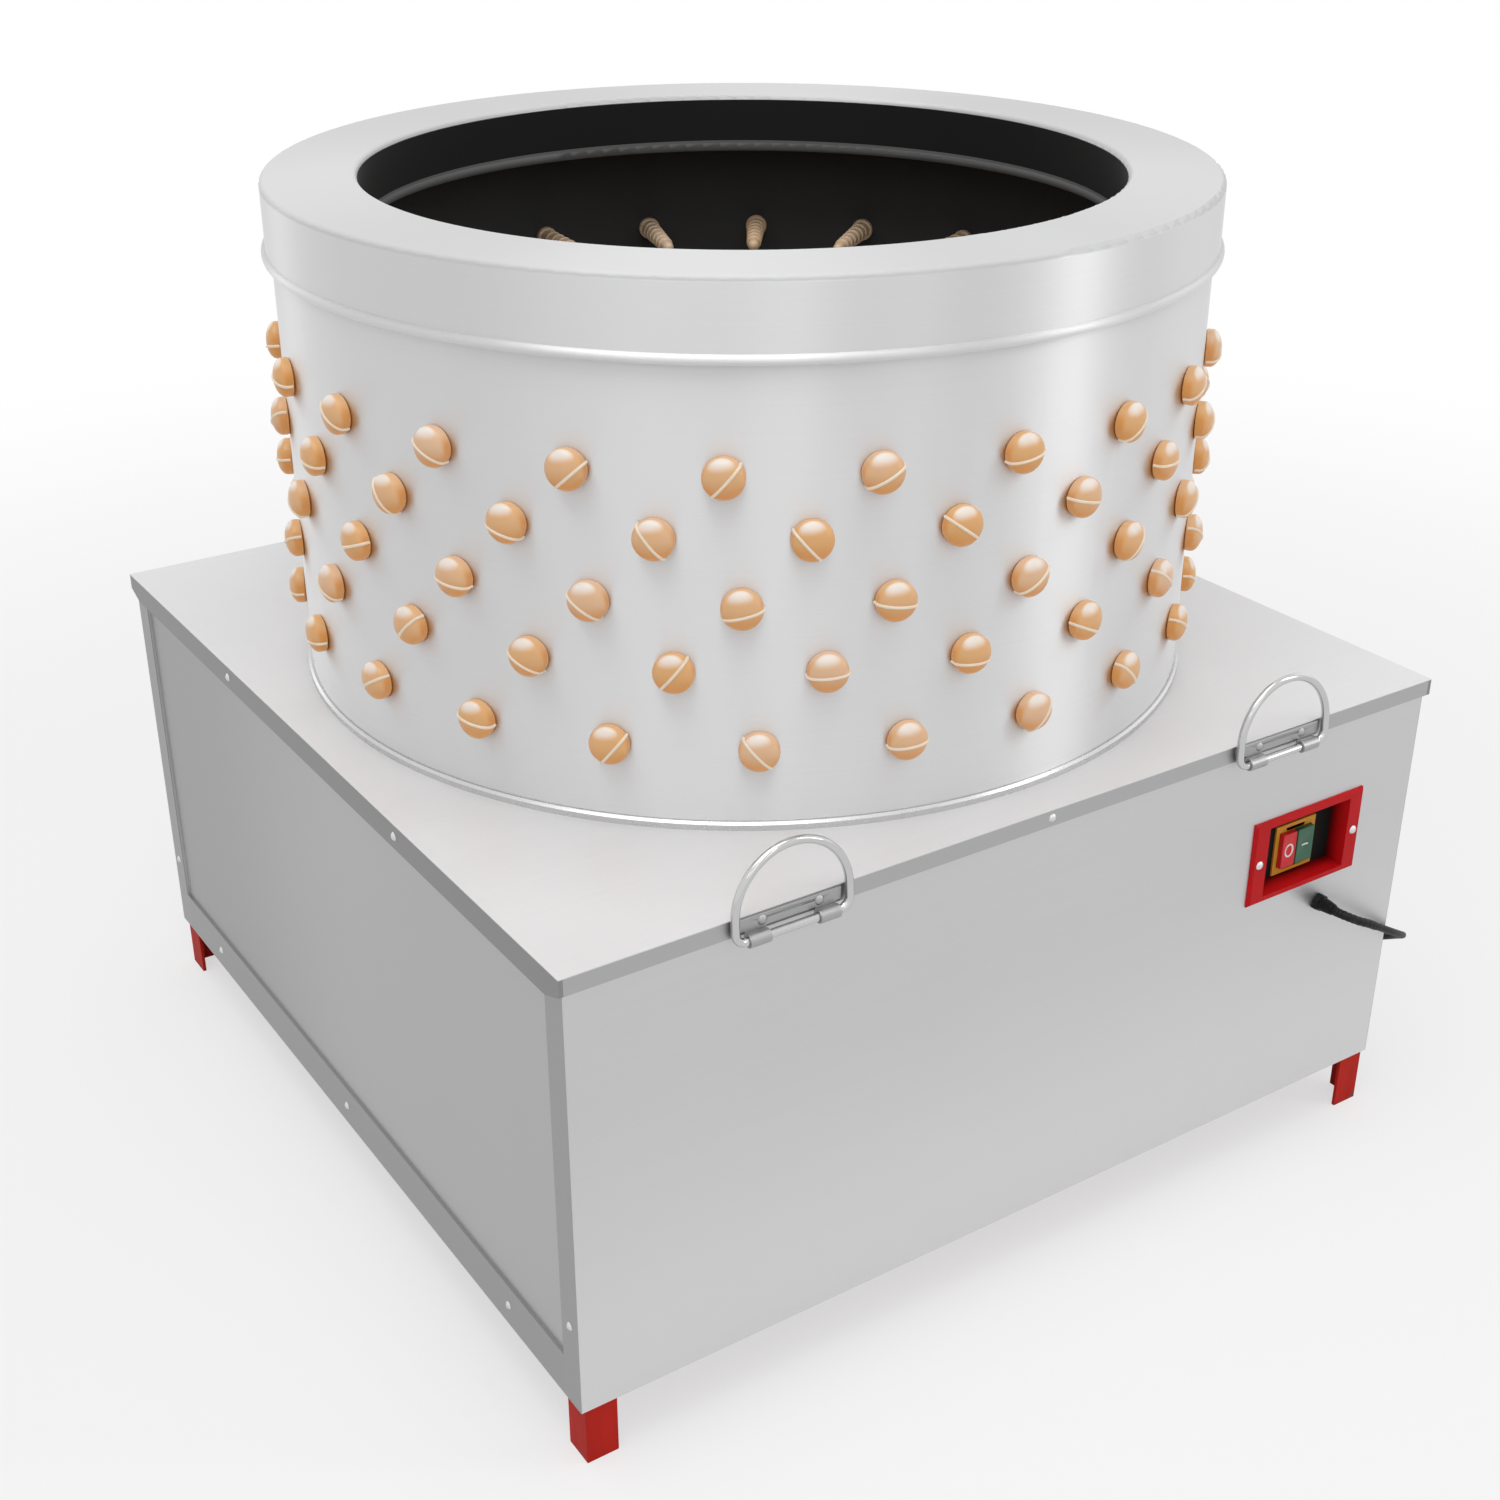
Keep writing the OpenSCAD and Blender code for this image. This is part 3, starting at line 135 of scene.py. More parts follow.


# Where the zones of painted shade and painted light on the sheets end

SKIRT_TOP = 397.4 * MM
SKIRT_SIDE = 384.2 * MM
FLANGE_SIDE = 383.6 * MM
PANEL_FOOT_LIGHT = (320 * MM, 60 * MM)
INSIDE_SHADE_R = 349.3 * MM
NECK_R = 287.0 * MM
NECK_TOP = 770.5 * MM
HEM_TOP = 736.0 * MM
RIM_BEND = (769.8 * MM, 771.5 * MM)
SIDE_BACK_SHADE = (-60 * MM, 300 * MM)


# Shader graphs


class Value:
    """One output socket of a node, whose operators add Math nodes."""

    def __init__(self, graph: "Graph", socket: bpy.types.NodeSocket | None) -> None:
        """Keeps the socket and the graph that it belongs to."""
        self.graph = graph
        self.socket = socket

    def math(self, operation: str, first: Number, second: Number = 0.0) -> "Value":
        """Adds one Math node for one or two values and gives its result."""
        return self.graph.node("ShaderNodeMath", {"operation": operation}, {0: first, 1: second})

    def __add__(self, other: Number) -> "Value":
        """Sum."""
        return self.math("ADD", self, other)

    def __radd__(self, other: Number) -> "Value":
        """Reflected sum."""
        return self.math("ADD", other, self)

    def __sub__(self, other: Number) -> "Value":
        """Difference."""
        return self.math("SUBTRACT", self, other)

    def __rsub__(self, other: Number) -> "Value":
        """Reflected difference."""
        return self.math("SUBTRACT", other, self)

    def __mul__(self, other: Number) -> "Value":
        """Product."""
        return self.math("MULTIPLY", self, other)

    def __rmul__(self, other: Number) -> "Value":
        """Reflected product."""
        return self.math("MULTIPLY", other, self)

    def __pow__(self, other: Number) -> "Value":
        """Power."""
        return self.math("POWER", self, other)

    def __abs__(self) -> "Value":
        """Size without its sign."""
        return self.math("ABSOLUTE", self)

    def below(self, limit: float) -> "Value":
        """One where the value is below the limit, otherwise zero."""
        return self.math("LESS_THAN", self, limit)

    def above(self, limit: float) -> "Value":
        """One where the value is above the limit, otherwise zero."""
        return self.math("GREATER_THAN", self, limit)

    def most(self, other: Number) -> "Value":
        """The larger of two values."""
        return self.math("MAXIMUM", self, other)

    def rise(self, low: float, high: float) -> "Value":
        """Smooth step from zero at the low value to one at the high value."""
        settings = {"interpolation_type": "SMOOTHSTEP"}
        return self.graph.node("ShaderNodeMapRange", settings, {0: self, 1: low, 2: high})


class Graph:
    """Node tree of one material or of the world."""

    def __init__(self, tree: bpy.types.NodeTree) -> None:
        """Starts from an empty tree."""
        tree.nodes.clear()
        self.tree = tree

    def node(
        self,
        kind: str,
        settings: dict[str, object] | None = None,
        sockets: "Look | None" = None,
        out: str | int = 0,
    ) -> Value:
        """Adds a node, sets it up and feeds its sockets.

        Args:
            kind: Type of the node.
            settings: The node's own settings, set before its sockets.
            sockets: Values or links for its inputs, by name or place.
            out: Name or place of the output that is returned.

        Returns:
            The chosen output; the node that ends a tree has none.
        """
        made = self.tree.nodes.new(kind)
        for key, value in (settings or {}).items():
            setattr(made, key, value)
        for key, value in (sockets or {}).items():
            if isinstance(value, Value):
                self.tree.links.new(value.socket, made.inputs[key])
            else:
                made.inputs[key].default_value = value
        return Value(self, made.outputs[out] if made.outputs else None)

    def mix(self, share: Number, first: Feed, second: Feed) -> Value:
        """Mixes two colours by the share of the second."""
        sockets = {0: share, 6: rgba(first), 7: rgba(second)}
        return self.node("ShaderNodeMix", {"data_type": "RGBA"}, sockets, 2)

    def place(self) -> Value:
        """Object coordinates, in metres."""
        return self.node("ShaderNodeTexCoord", out="Object")

    def axes(self) -> tuple[Value, Value, Value]:
        """The three object coordinates as values of their own."""
        return self.parts(self.place())

    def parts(self, vector: Value) -> tuple[Value, Value, Value]:
        """Splits a vector into its three parts.

        Args:
            vector: The vector.

        Returns:
            Its parts along X, Y and Z.
        """
        split = self.node("ShaderNodeSeparateXYZ", sockets={0: vector})
        outputs = split.socket.node.outputs
        return Value(self, outputs[0]), Value(self, outputs[1]), Value(self, outputs[2])

    def noise(
        self, scale: float, detail: float = 2.0, stretch: Point = (1.0, 1.0, 1.0)
    ) -> Value:
        """Noise over the object's coordinates.

        Args:
            scale: Waves in each metre.
            detail: Finer layers that are added.
            stretch: Factors along X, Y and Z.

        Returns:
            A value that varies about one half.
        """
        where = self.node("ShaderNodeMapping", sockets={"Vector": self.place(), "Scale": stretch})
        sockets = {"Vector": where, "Scale": scale, "Detail": detail}
        return self.node("ShaderNodeTexNoise", None, sockets)

    def bump(self, height: Value, strength: float, depth: float) -> Value:
        """Normal of a surface raised by a height from zero to one, with its depth in metres."""
        sockets = {"Strength": strength, "Distance": depth, "Height": height}
        return self.node("ShaderNodeBump", None, sockets)

    def mark(self, name: str) -> Value:
        """Reads a value that a mesh carries at its points."""
        return self.node("ShaderNodeAttribute", {"attribute_name": name}, out="Fac")

    def surface(self, look: Look) -> None:
        """Ends the tree in a Principled shader with the given sockets."""
        shader = self.node("ShaderNodeBsdfPrincipled", None, look)
        self.node("ShaderNodeOutputMaterial", None, {"Surface": shader})


def rgba(colour: Feed) -> Feed:
    """Gives a plain colour its fourth number; a link stays as it is."""
    return (*colour, 1.0) if isinstance(colour, tuple) and len(colour) == 3 else colour


def shade(colour: Rgb, factor: float) -> Rgb:
    """A colour made darker or lighter by a factor."""
    return (colour[0] * factor, colour[1] * factor, colour[2] * factor)


# Finishes


@dataclass(frozen=True)
class Finish:
    """What every finish has: a name, a slot of the record, a colour and a roughness."""

    name: str
    slot: Slot
    colour: Rgb
    roughness: float

    def look(self, graph: Graph) -> Look:
        """Sockets of the Principled shader. Each finish has its own."""
        raise NotImplementedError

    def vary(self, graph: Graph, share: Number, low: float, high: float) -> Value:
        """The colour between two shades of it, by the share of the second."""
        return graph.mix(share, shade(self.colour, low), shade(self.colour, high))

    def material(self) -> bpy.types.Material:
        """Makes the material once and gives it again after that.

        Returns:
            The finish's material.
        """
        known = bpy.data.materials.get("finish_" + self.name)
        if known:
            return known
        made = bpy.data.materials.new("finish_" + self.name)
        made.use_nodes = True
        graph = Graph(made.node_tree)
        graph.surface(self.look(graph))
        made.diffuse_color = rgba(self.colour)
        return made


@dataclass(frozen=True)
class SheetSteel(Finish):
    """Brushed stainless sheet, with a zone of painted shade that may differ."""

    grain: Grain = Grain.ALONG_X
    anisotropy: float = 0.0
    metal: float = 1.0
    streaks: Point = (1.0, 1.0, 1.0)
    zone: Zone = Zone.NONE
    zone_colour: Rgb = (0.3, 0.3, 0.3)
    zone_metal: float = 1.0
    zone_roughness: float = 0.4
    # Grey of the painted highlight along the hem, inside the neck's painted shade.
    hem: Rgb = (0.15, 0.15, 0.15)
    bend_loss: float = 0.82
    # Factor of painted shade on the rim's flat top.
    bend_shade: float = 0.87
    # Factor of painted shade on the side skirts, darker than the front skirt.
    side_shade: float = 0.62
    # Factor of painted light on the panels' lower part.
    foot_light: float = 1.16

    def zone_mask(self, graph: Graph) -> Value | None:
        """Where the zone of painted shade lies.

        Args:
            graph: Graph of the material.

        Returns:
            A value of one in the zone, or None where there is no zone.
        """
        if self.zone is Zone.NONE:
            return None
        x, y, z = graph.axes()
        radius = (x * x + y * y) ** 0.5
        match self.zone:
            # Painted shade: the lid's skirt below SKIRT_TOP.
            case Zone.SKIRT:
                return z.below(SKIRT_TOP)
            # Painted shade: the panels' side flanges take the darker fold colour.
            case Zone.FLANGE:
                return abs(x).above(FLANGE_SIDE)
            # Painted shade: inside the drum wall the colour is near black and not metallic.
            case Zone.INSIDE_SHADE:
                return radius.below(INSIDE_SHADE_R)
            # Painted shade: inside the rim's neck the colour is near black.
            case Zone.NECK:
                return radius.below(NECK_R) * z.below(NECK_TOP)
        # Painted shade: the side panels darker towards the back.
        return y.rise(*SIDE_BACK_SHADE)

    def zone_detail(
        self, graph: Graph, mask: Value, colour: Value, metal: Value
    ) -> tuple[Value, Value]:
        """Smaller painted shade and light within the zone and beside it, and a less metallic rim
        top.

        Args:
            graph: Graph of the material.
            mask: Where the zone lies.
            colour: Colour so far.
            metal: Metal share so far.

        Returns:
            The colour and the metal share with those differences.
        """
        x, _, z = graph.axes()
        match self.zone:
            case Zone.NECK:
                # Painted highlight: below HEM_TOP the neck's inside takes the lighter hem grey.
                colour = graph.mix(z.below(HEM_TOP) * mask, colour, self.hem)
                # The rim's flat top is made less metallic and painted darker: painted shade.
                top = z.rise(*RIM_BEND)
                metal = metal - top * metal * self.bend_loss
                colour = graph.mix(top, colour, shade(self.colour, self.bend_shade))
            case Zone.SKIRT:
                # Painted shade: the skirt's sides darker still than its front.
                side = abs(x).above(SKIRT_SIDE) * mask
                colour = graph.mix(side, colour, shade(self.zone_colour, self.side_shade))
            # Painted light: the front and back panels lighter towards the bottom, beside the flange
            # zone.
            case Zone.FLANGE:
                low = z.rise(*PANEL_FOOT_LIGHT) * (1 - mask)
                colour = graph.mix(low, colour, shade(self.colour, self.foot_light))
        return colour, metal

    def look(self, graph: Graph) -> Look:
        """Fine brush lines over soft clouds of handling marks.

        Args:
            graph: Graph of the material.

        Returns:
            Sockets of the Principled shader.
        """
        lines = graph.noise(1.0, 3.0, self.grain.value)
        clouds = graph.noise(5.0, 3.0, self.streaks)
        colour = self.vary(graph, lines * 0.5 + clouds * 0.5, 0.93, 1.07)
        rough = lines * 0.1 + clouds * 0.08 + (self.roughness - 0.09)
        metal: Feed = self.metal
        mask = self.zone_mask(graph)
        # The zone's colour is painted shade; its metal share and roughness replace the sheet's
        # there.
        if mask is not None:
            colour = graph.mix(mask, colour, self.zone_colour)
            rough = rough * (1 - mask) + mask * self.zone_roughness
            metal = self.metal + mask * (self.zone_metal - self.metal)
            colour, metal = self.zone_detail(graph, mask, colour, metal)
        return {
            "Base Color": colour,
            "Roughness": rough,
            "Metallic": metal,
            "Anisotropic": self.anisotropy,
            "Anisotropic Rotation": 0.25,
            "Specular IOR Level": 0.15,
            "Normal": graph.bump(lines, 0.06, 0.1 * MM),
        }


@dataclass(frozen=True)
class BrightSteel(Finish):
    """Turned or polished steel with faint scratches."""

    scratch: float = 0.08

    def look(self, graph: Graph) -> Look:
        """Faint scratches in a bright metal.

        Args:
            graph: Graph of the material.

        Returns:
            Sockets of the Principled shader.
        """
        fine = graph.noise(900.0, 3.0)
        clouds = graph.noise(40.0, 2.0)
        return {
            "Base Color": self.vary(graph, clouds, 0.92, 1.0),
            "Metallic": 1.0,
            "Roughness": fine * self.scratch + clouds * self.scratch + self.roughness,
            "Normal": graph.bump(fine, 0.03, 0.05 * MM),
        }


@dataclass(frozen=True)
class Enamel(Finish):
    """Brushed-on enamel over steel, chipped where it meets the floor."""

    bare: Rgb = (0.13, 0.1, 0.09)
    coat: float = 0.02

    def look(self, graph: Graph) -> Look:
        """Uneven paint with runs, and chips near the floor.

        Args:
            graph: Graph of the material.

        Returns:
            Sockets of the Principled shader.
        """
        height = graph.axes()[2]
        runs = graph.noise(1.0, 2.0, (90.0, 90.0, 14.0))
        peel = graph.noise(420.0, 2.0)
        chips = (graph.noise(170.0, 4.0) + 0.2 * (1 - height.rise(0.0, 9 * MM))).above(0.76)
        paint = self.vary(graph, runs, 0.82, 1.14)
        return {
            "Base Color": graph.mix(chips, paint, self.bare),
            "Metallic": chips * 0.7,
            "Roughness": peel * 0.14 + (self.roughness - 0.07) + chips * 0.25,
            "Coat Weight": self.coat * (1 - chips),
            "Coat Roughness": 0.18,
            "Specular IOR Level": 0.06,
            "Normal": graph.bump(peel * 0.6 + runs * 0.8 - chips * 0.5, 0.22, 0.3 * MM),
        }


@dataclass(frozen=True)
class FingerRubber(Finish):
    """Moulded natural rubber: the tint and the mould's flash are carried by the mesh."""

    pale: Rgb = (0.87, 0.6, 0.42)
    # Colour of the painted highlight on the heads' crowns.
    painted_highlight: Rgb = (0.98, 0.93, 0.87)
    # Colour of the painted shade round the heads' edges and lower halves.
    deep: Rgb = (0.82, 0.34, 0.08)
    flash: Rgb = (0.92, 0.8, 0.64)
    dust: Rgb = (0.64, 0.53, 0.39)

    @staticmethod
    def facing(graph: Graph) -> tuple[Value, Value, Value]:
        """How far the surface faces out of the drum, along its round and up.

        Args:
            graph: Graph of the material.

        Returns:
            The three parts of the normal.
        """
        x, y, _ = graph.axes()
        normal = graph.node("ShaderNodeNewGeometry", out="Normal")
        nx, ny, nz = graph.parts(normal)
        share = (x * x + y * y) ** -0.5
        return (nx * x + ny * y) * share, (ny * x - nx * y) * share, nz

    def look(self, graph: Graph) -> Look:
        """Amber rubber with painted shade deepening the heads' edges, a painted highlight paling
        their crowns, and paler on the flash.

        Args:
            graph: Graph of the material.

        Returns:
            Sockets of the Principled shader.
        """
        clouds = graph.noise(60.0, 3.0)
        grain = graph.noise(700.0, 2.0)
        body = graph.mix(graph.mark("tint") * 0.7 + clouds * 0.25, self.colour, self.pale)
        out, along, up = self.facing(graph)
        head = 1 - graph.mark("inner").above(0.0)
        # Painted shade: the heads' side and lower edges turn deep orange.
        edge = (out.rise(0.85, 0.15) * up.rise(0.75, 0.2)).most(up.rise(0.15, -0.55))
        body = graph.mix(edge * head * 0.85, body, self.deep)
        # Painted highlight: a pale spot fixed on each head's upper front.
        highlight_spot = out * 0.66 + up * 0.74 - along * 0.1
        body = graph.mix(highlight_spot.rise(0.8, 0.98) * head * 0.85, body, self.painted_highlight)
        used = graph.mix(graph.mark("inner") * (0.7 + clouds * 0.6), body, self.dust)
        return {
            "Base Color": graph.mix(graph.mark("flash"), used, self.flash),
            "Roughness": clouds * 0.14 + grain * 0.06 + (self.roughness - 0.1),
            "Coat Weight": 0.35,
            "Coat Roughness": 0.14,
            "Specular IOR Level": 0.2,
            "Normal": graph.bump(grain * 0.4 + clouds, 0.1, 0.3 * MM),
        }


@dataclass(frozen=True)
class Moulded(Finish):
    """Moulded plastic with a fine spark-eroded skin."""

    coat: float = 0.0
    skin: float = 0.08
    specular: float = 0.4
    # Depths along Y over which painted shade darkens the colour towards recess_shade.
    recess: tuple[float, float] | None = None
    recess_shade: float = 0.06

    def look(self, graph: Graph) -> Look:
        """Even colour with a fine skin and handling marks, with painted shade darker down a recess.

        Args:
            graph: Graph of the material.

        Returns:
            Sockets of the Principled shader.
        """
        skin = graph.noise(1500.0, 2.0)
        marks = graph.noise(70.0, 4.0)
        colour = self.vary(graph, marks, 0.86, 1.12)
        # Painted shade: darker deeper into the recess.
        if self.recess:
            deep = graph.axes()[1].rise(*self.recess)
            colour = graph.mix(deep, colour, shade(self.colour, self.recess_shade))
        return {
            "Base Color": colour,
            "Specular IOR Level": self.specular,
            "Roughness": marks * 0.12 + (self.roughness - 0.06),
            "Coat Weight": self.coat,
            "Coat Roughness": 0.12,
            "Normal": graph.bump(skin * 0.5 + marks, self.skin, 0.2 * MM),
        }


@dataclass(frozen=True)
class Casting(Finish):
    """Sand-cast or enamelled iron with a rough skin."""

    metal: float = 0.4

    def look(self, graph: Graph) -> Look:
        """Grainy skin with darker hollows.

        Args:
            graph: Graph of the material.

        Returns:
            Sockets of the Principled shader.
        """
        sand = graph.noise(420.0, 4.0)
        skin = graph.noise(28.0, 3.0) * 0.6 + sand * 0.4
        return {
            "Base Color": self.vary(graph, skin, 0.7, 1.3),
            "Metallic": self.metal,
            "Roughness": sand * 0.2 + (self.roughness - 0.1),
            "Normal": graph.bump(sand, 0.3, 0.5 * MM),
        }


@dataclass(frozen=True)
class Sheath(Finish):
    """Black sheath or belt rubber with grey scuffs."""

    scuff: Rgb = (0.03, 0.03, 0.03)

    def look(self, graph: Graph) -> Look:
        """Dark rubber with faint scuffs.

        Args:
            graph: Graph of the material.

        Returns:
            Sockets of the Principled shader.
        """
        scuffs = graph.noise(130.0, 5.0)
        grain = graph.noise(1200.0, 2.0)
        return {
            "Base Color": graph.mix(scuffs.rise(0.5, 0.75), self.colour, self.scuff),
            "Roughness": scuffs * 0.2 + (self.roughness - 0.1),
            "Specular IOR Level": 0.25,
            "Normal": graph.bump(grain + scuffs, 0.12, 0.2 * MM),
        }


@dataclass(frozen=True)
class Webbing(Finish):
    """Hook-and-loop webbing: rows of small loops."""

    def look(self, graph: Graph) -> Look:
        """Rows of loops as small cells.

        Args:
            graph: Graph of the material.

        Returns:
            Sockets of the Principled shader.
        """
        cells = graph.node("ShaderNodeTexVoronoi", None, {"Vector": graph.place(), "Scale": 1400.0})
        return {
            "Base Color": self.vary(graph, cells, 1.8, 0.5),
            "Roughness": cells * 0.1 + self.roughness,
            "Sheen Weight": 0.4,
            "Normal": graph.bump(1 - cells, 0.6, 0.3 * MM),
        }


STEEL: Rgb = (0.6, 0.6, 0.605)
# Darker copy of the cabinet steel for the side panels: painted shade.
SIDE_SHADE_STEEL: Rgb = (0.48, 0.48, 0.485)
# Darker copy of the cabinet steel for the panels' side flanges and the sills: painted shade.
FOLD_SHADE: Rgb = (0.36, 0.36, 0.365)
# Lighter copy of the cabinet steel for the lid's upward face: painted light.
LIT_TOP_STEEL: Rgb = (0.77, 0.77, 0.775)
# Near black of the painted shade inside the rim's neck.
BLACK: Rgb = (0.011, 0.011, 0.011)
LID_STEEL = SheetSteel(
    "lid",
    Slot.CABINET_STEEL,
    LIT_TOP_STEEL,
    0.5,
    metal=0.3,
    zone=Zone.SKIRT,
    # The skirt's colour is painted shade.
    zone_colour=(0.44, 0.44, 0.445),
)
PANEL_STEEL = SheetSteel(
    "wrap", Slot.CABINET_STEEL, STEEL, 0.42, zone=Zone.FLANGE, zone_colour=FOLD_SHADE
)
SIDE_STEEL = SheetSteel(
    "side",
    Slot.CABINET_STEEL,
    SIDE_SHADE_STEEL,
    0.42,
    Grain.ALONG_Y,
    # Painted shade: darker again towards the back.
    zone=Zone.FADE,
    zone_colour=(0.39, 0.39, 0.395),
    zone_roughness=0.42,
)
# Sills in the darker fold colour: painted shade.
SILL_STEEL = SheetSteel("sill", Slot.CABINET_STEEL, FOLD_SHADE, 0.42, Grain.ALONG_Y)
TRAY_STEEL = SheetSteel("tray", Slot.CABINET_STEEL, (0.5, 0.5, 0.5), 0.45, Grain.FLAT)
DRUM_STEEL = SheetSteel(
    "drum",
    Slot.DRUM_STEEL,
    (0.74, 0.74, 0.745),
    0.5,
    Grain.ROUND,
    anisotropy=0.9,
    streaks=(2.6, 2.6, 0.05),
    # The drum's inside is painted near black: painted shade.
    zone=Zone.INSIDE_SHADE,
    zone_colour=(0.05, 0.05, 0.051),
    zone_metal=0.0,
    zone_roughness=0.8,
)
# Rim: the neck's inside is painted shade, with a lighter hem.
RIM_STEEL = replace(
    DRUM_STEEL, name="rim", colour=(0.72, 0.72, 0.725), zone=Zone.NECK, zone_colour=BLACK
)
PLATE_STEEL = SheetSteel("plate", Slot.DRUM_STEEL, (0.42, 0.42, 0.42), 0.4, Grain.FLAT)
RING_STEEL = BrightSteel("ring", Slot.BRIGHT_STEEL, (0.62, 0.62, 0.625), 0.2)
BRIGHT = BrightSteel("bright", Slot.BRIGHT_STEEL, (0.72, 0.72, 0.73), 0.22)
CHROME = BrightSteel("chrome", Slot.CHROME, (0.6, 0.6, 0.605), 0.1, 0.04)
PLATED = BrightSteel("plated", Slot.CHROME, (0.42, 0.42, 0.425), 0.28)
RED_ENAMEL = Enamel("red_enamel", Slot.RED_PAINT, (0.53, 0.02, 0.012), 0.5)
RUBBER = FingerRubber("rubber", Slot.FINGER_RUBBER, (0.84, 0.445, 0.155), 0.36)
IRON = Casting("iron", Slot.CAST_IRON, (0.16, 0.16, 0.17), 0.6, 0.5)
MOTOR_GREY = Casting("motor_grey", Slot.MOTOR_PAINT, (0.2, 0.23, 0.25), 0.45, 0.0)
BELT = Sheath("belt", Slot.BELT_RUBBER, (0.02, 0.02, 0.02), 0.75)
SWITCH_RED = Moulded(
    "switch_red",
    Slot.SWITCH_RED,
    (0.56, 0.005, 0.008),
    0.4,
    specular=0.12,
    # Painted shade down the switch's recess.
    recess=(-384 * MM, -369 * MM),
)
SWITCH_BLACK = Moulded("switch_black", Slot.SWITCH_BLACK, (0.004, 0.004, 0.004), 0.7, specular=0.15)
SWITCH_YELLOW = Moulded("switch_yellow", Slot.SWITCH_YELLOW, (0.68, 0.32, 0.03), 0.4, specular=0.2)
STOP_RED = Moulded("stop_red", Slot.STOP_RED, (0.68, 0.026, 0.034), 0.35, 0.1, specular=0.2)
START_GREEN = Moulded("start_green", Slot.START_GREEN, (0.025, 0.125, 0.065), 0.35, 0.1)
MARK_WHITE = Moulded("mark_white", Slot.STOP_RED, (0.8, 0.79, 0.76), 0.5)
CORD_BLACK = Sheath("cord", Slot.CORD_BLACK, (0.006, 0.006, 0.006), 0.5)
GLAND_BLACK = Moulded("gland", Slot.CORD_BLACK, (0.005, 0.005, 0.005), 0.45, specular=0.2)
STRAP_BLACK = Webbing("strap", Slot.CORD_BLACK, (0.02, 0.02, 0.022), 0.85)


# Meshes


def stand(name: str, data: bpy.types.ID) -> bpy.types.Object:
    """Makes an object and puts it in the scene.

    Args:
        name: Name of the object.
        data: Its mesh, curve, lamp or camera.

    Returns:
        The new object.
    """
    made = bpy.data.objects.new(name, data)
    bpy.context.scene.collection.objects.link(made)
    return made


class Shell:
    """Points and faces of one piece, gathered shape by shape."""

    def __init__(self) -> None:
        """Starts with no points and with every mark at zero."""
        self.points: list[Vector] = []
        self.faces: list[tuple[int, ...]] = []
        self.marks: dict[str, list[float]] = {}

    def sweep(
        self, loops: Sequence[Sequence[Vector]], closed: bool = False, **marks: float
    ) -> None:
        """Joins loops of equal length into a skin.

        Args:
            loops: Loops of points, one after another along the shape.
            closed: Whether the last loop joins the first; otherwise both ends are capped.
            marks: Values that the new points carry.
        """
        start, count, sides = len(self.points), len(loops), len(loops[0])
        for loop in loops:
            self.points.extend(loop)
        for name in set(self.marks) | set(marks):
            row = self.marks.setdefault(name, [0.0] * start)
            row.extend([marks.get(name, 0.0)] * (count * sides))
        for i in range(count if closed else count - 1):
            here, there = start + i * sides, start + ((i + 1) % count) * sides
            for j in range(sides):
                k = (j + 1) % sides
                self.faces.append((here + j, here + k, there + k, there + j))
        if not closed:
            last = start + (count - 1) * sides
            self.faces.append(tuple(range(start + sides - 1, start - 1, -1)))
            self.faces.append(tuple(range(last, last + sides)))

    def lathe(
        self,
        profile: Sequence[tuple[float, float]],
        sides: int,
        place: Matrix,
        wave: Callable[[float, float], float] | None = None,
        **marks: float,
    ) -> None:
        """Turns a profile about +Z and puts it in place.

        Args:
            profile: Radius and height of each point, from one end to the other.
            sides: Sides of the round.
            place: Where the shape goes.
            wave: Factor on the radius, by angle and height.
            marks: Values that the new points carry.
        """
        loops = []
        for radius, height in profile:
            loop = []
            for j in range(sides):
                angle = math.tau * j / sides
                reach = max(radius, 0.02 * MM) * (wave(angle, height) if wave else 1.0)
                spot = Vector((reach * math.cos(angle), reach * math.sin(angle), height))
                loop.append(place @ spot)
            loops.append(loop)
        self.sweep(loops, **marks)

    def tube(
        self, path: Sequence[Vector], radii: Sequence[float], sides: int, **marks: float
    ) -> None:
        """Sweeps a round along a path without twisting it.

        Args:
            path: Middle of the tube.
            radii: Radius at each point of the path.
            sides: Sides of the round.
            marks: Values that the new points carry.
        """
        loops = []
        side = None
        for i, point in enumerate(path):
            ahead = (path[min(i + 1, len(path) - 1)] - path[max(i - 1, 0)]).normalized()
            if side is None:
                side = ahead.orthogonal().normalized()
            side = (side - ahead * side.dot(ahead)).normalized()
            other = ahead.cross(side)
            angles = [math.tau * j / sides for j in range(sides)]
            spokes = [math.cos(a) * side + math.sin(a) * other for a in angles]
            loops.append([point + radii[i] * spoke for spoke in spokes])
        self.sweep(loops, **marks)

    def piece(
        self,
        name: str,
        finish: Finish,
        body: Body,
        stands_for: Iterable[str] = (),
        sharp: float = 40.0,
    ) -> bpy.types.Object:
        """Makes the object, dresses it and lets it ride on a body.

        Args:
            name: Name of the piece.
            finish: Finish of the whole piece.
            body: Body that it rides on.
            stands_for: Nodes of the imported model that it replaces.
            sharp: Angle above which an edge stays sharp, in degrees.

        Returns:
            The new object.
        """
        mesh = bpy.data.meshes.new(name)
        mesh.from_pydata(self.points, [], self.faces)
        for mark, values in self.marks.items():
            mesh.attributes.new(mark, "FLOAT", "POINT").data.foreach_set("value", values)
        work = bmesh.new()
        work.from_mesh(mesh)
        bmesh.ops.recalc_face_normals(work, faces=work.faces)
        work.to_mesh(mesh)
        work.free()
        mesh.materials.append(finish.material())
        mesh.shade_smooth()
        mesh.set_sharp_from_angle(angle=math.radians(sharp))
        return settle(stand(name, mesh), finish, body, stands_for)


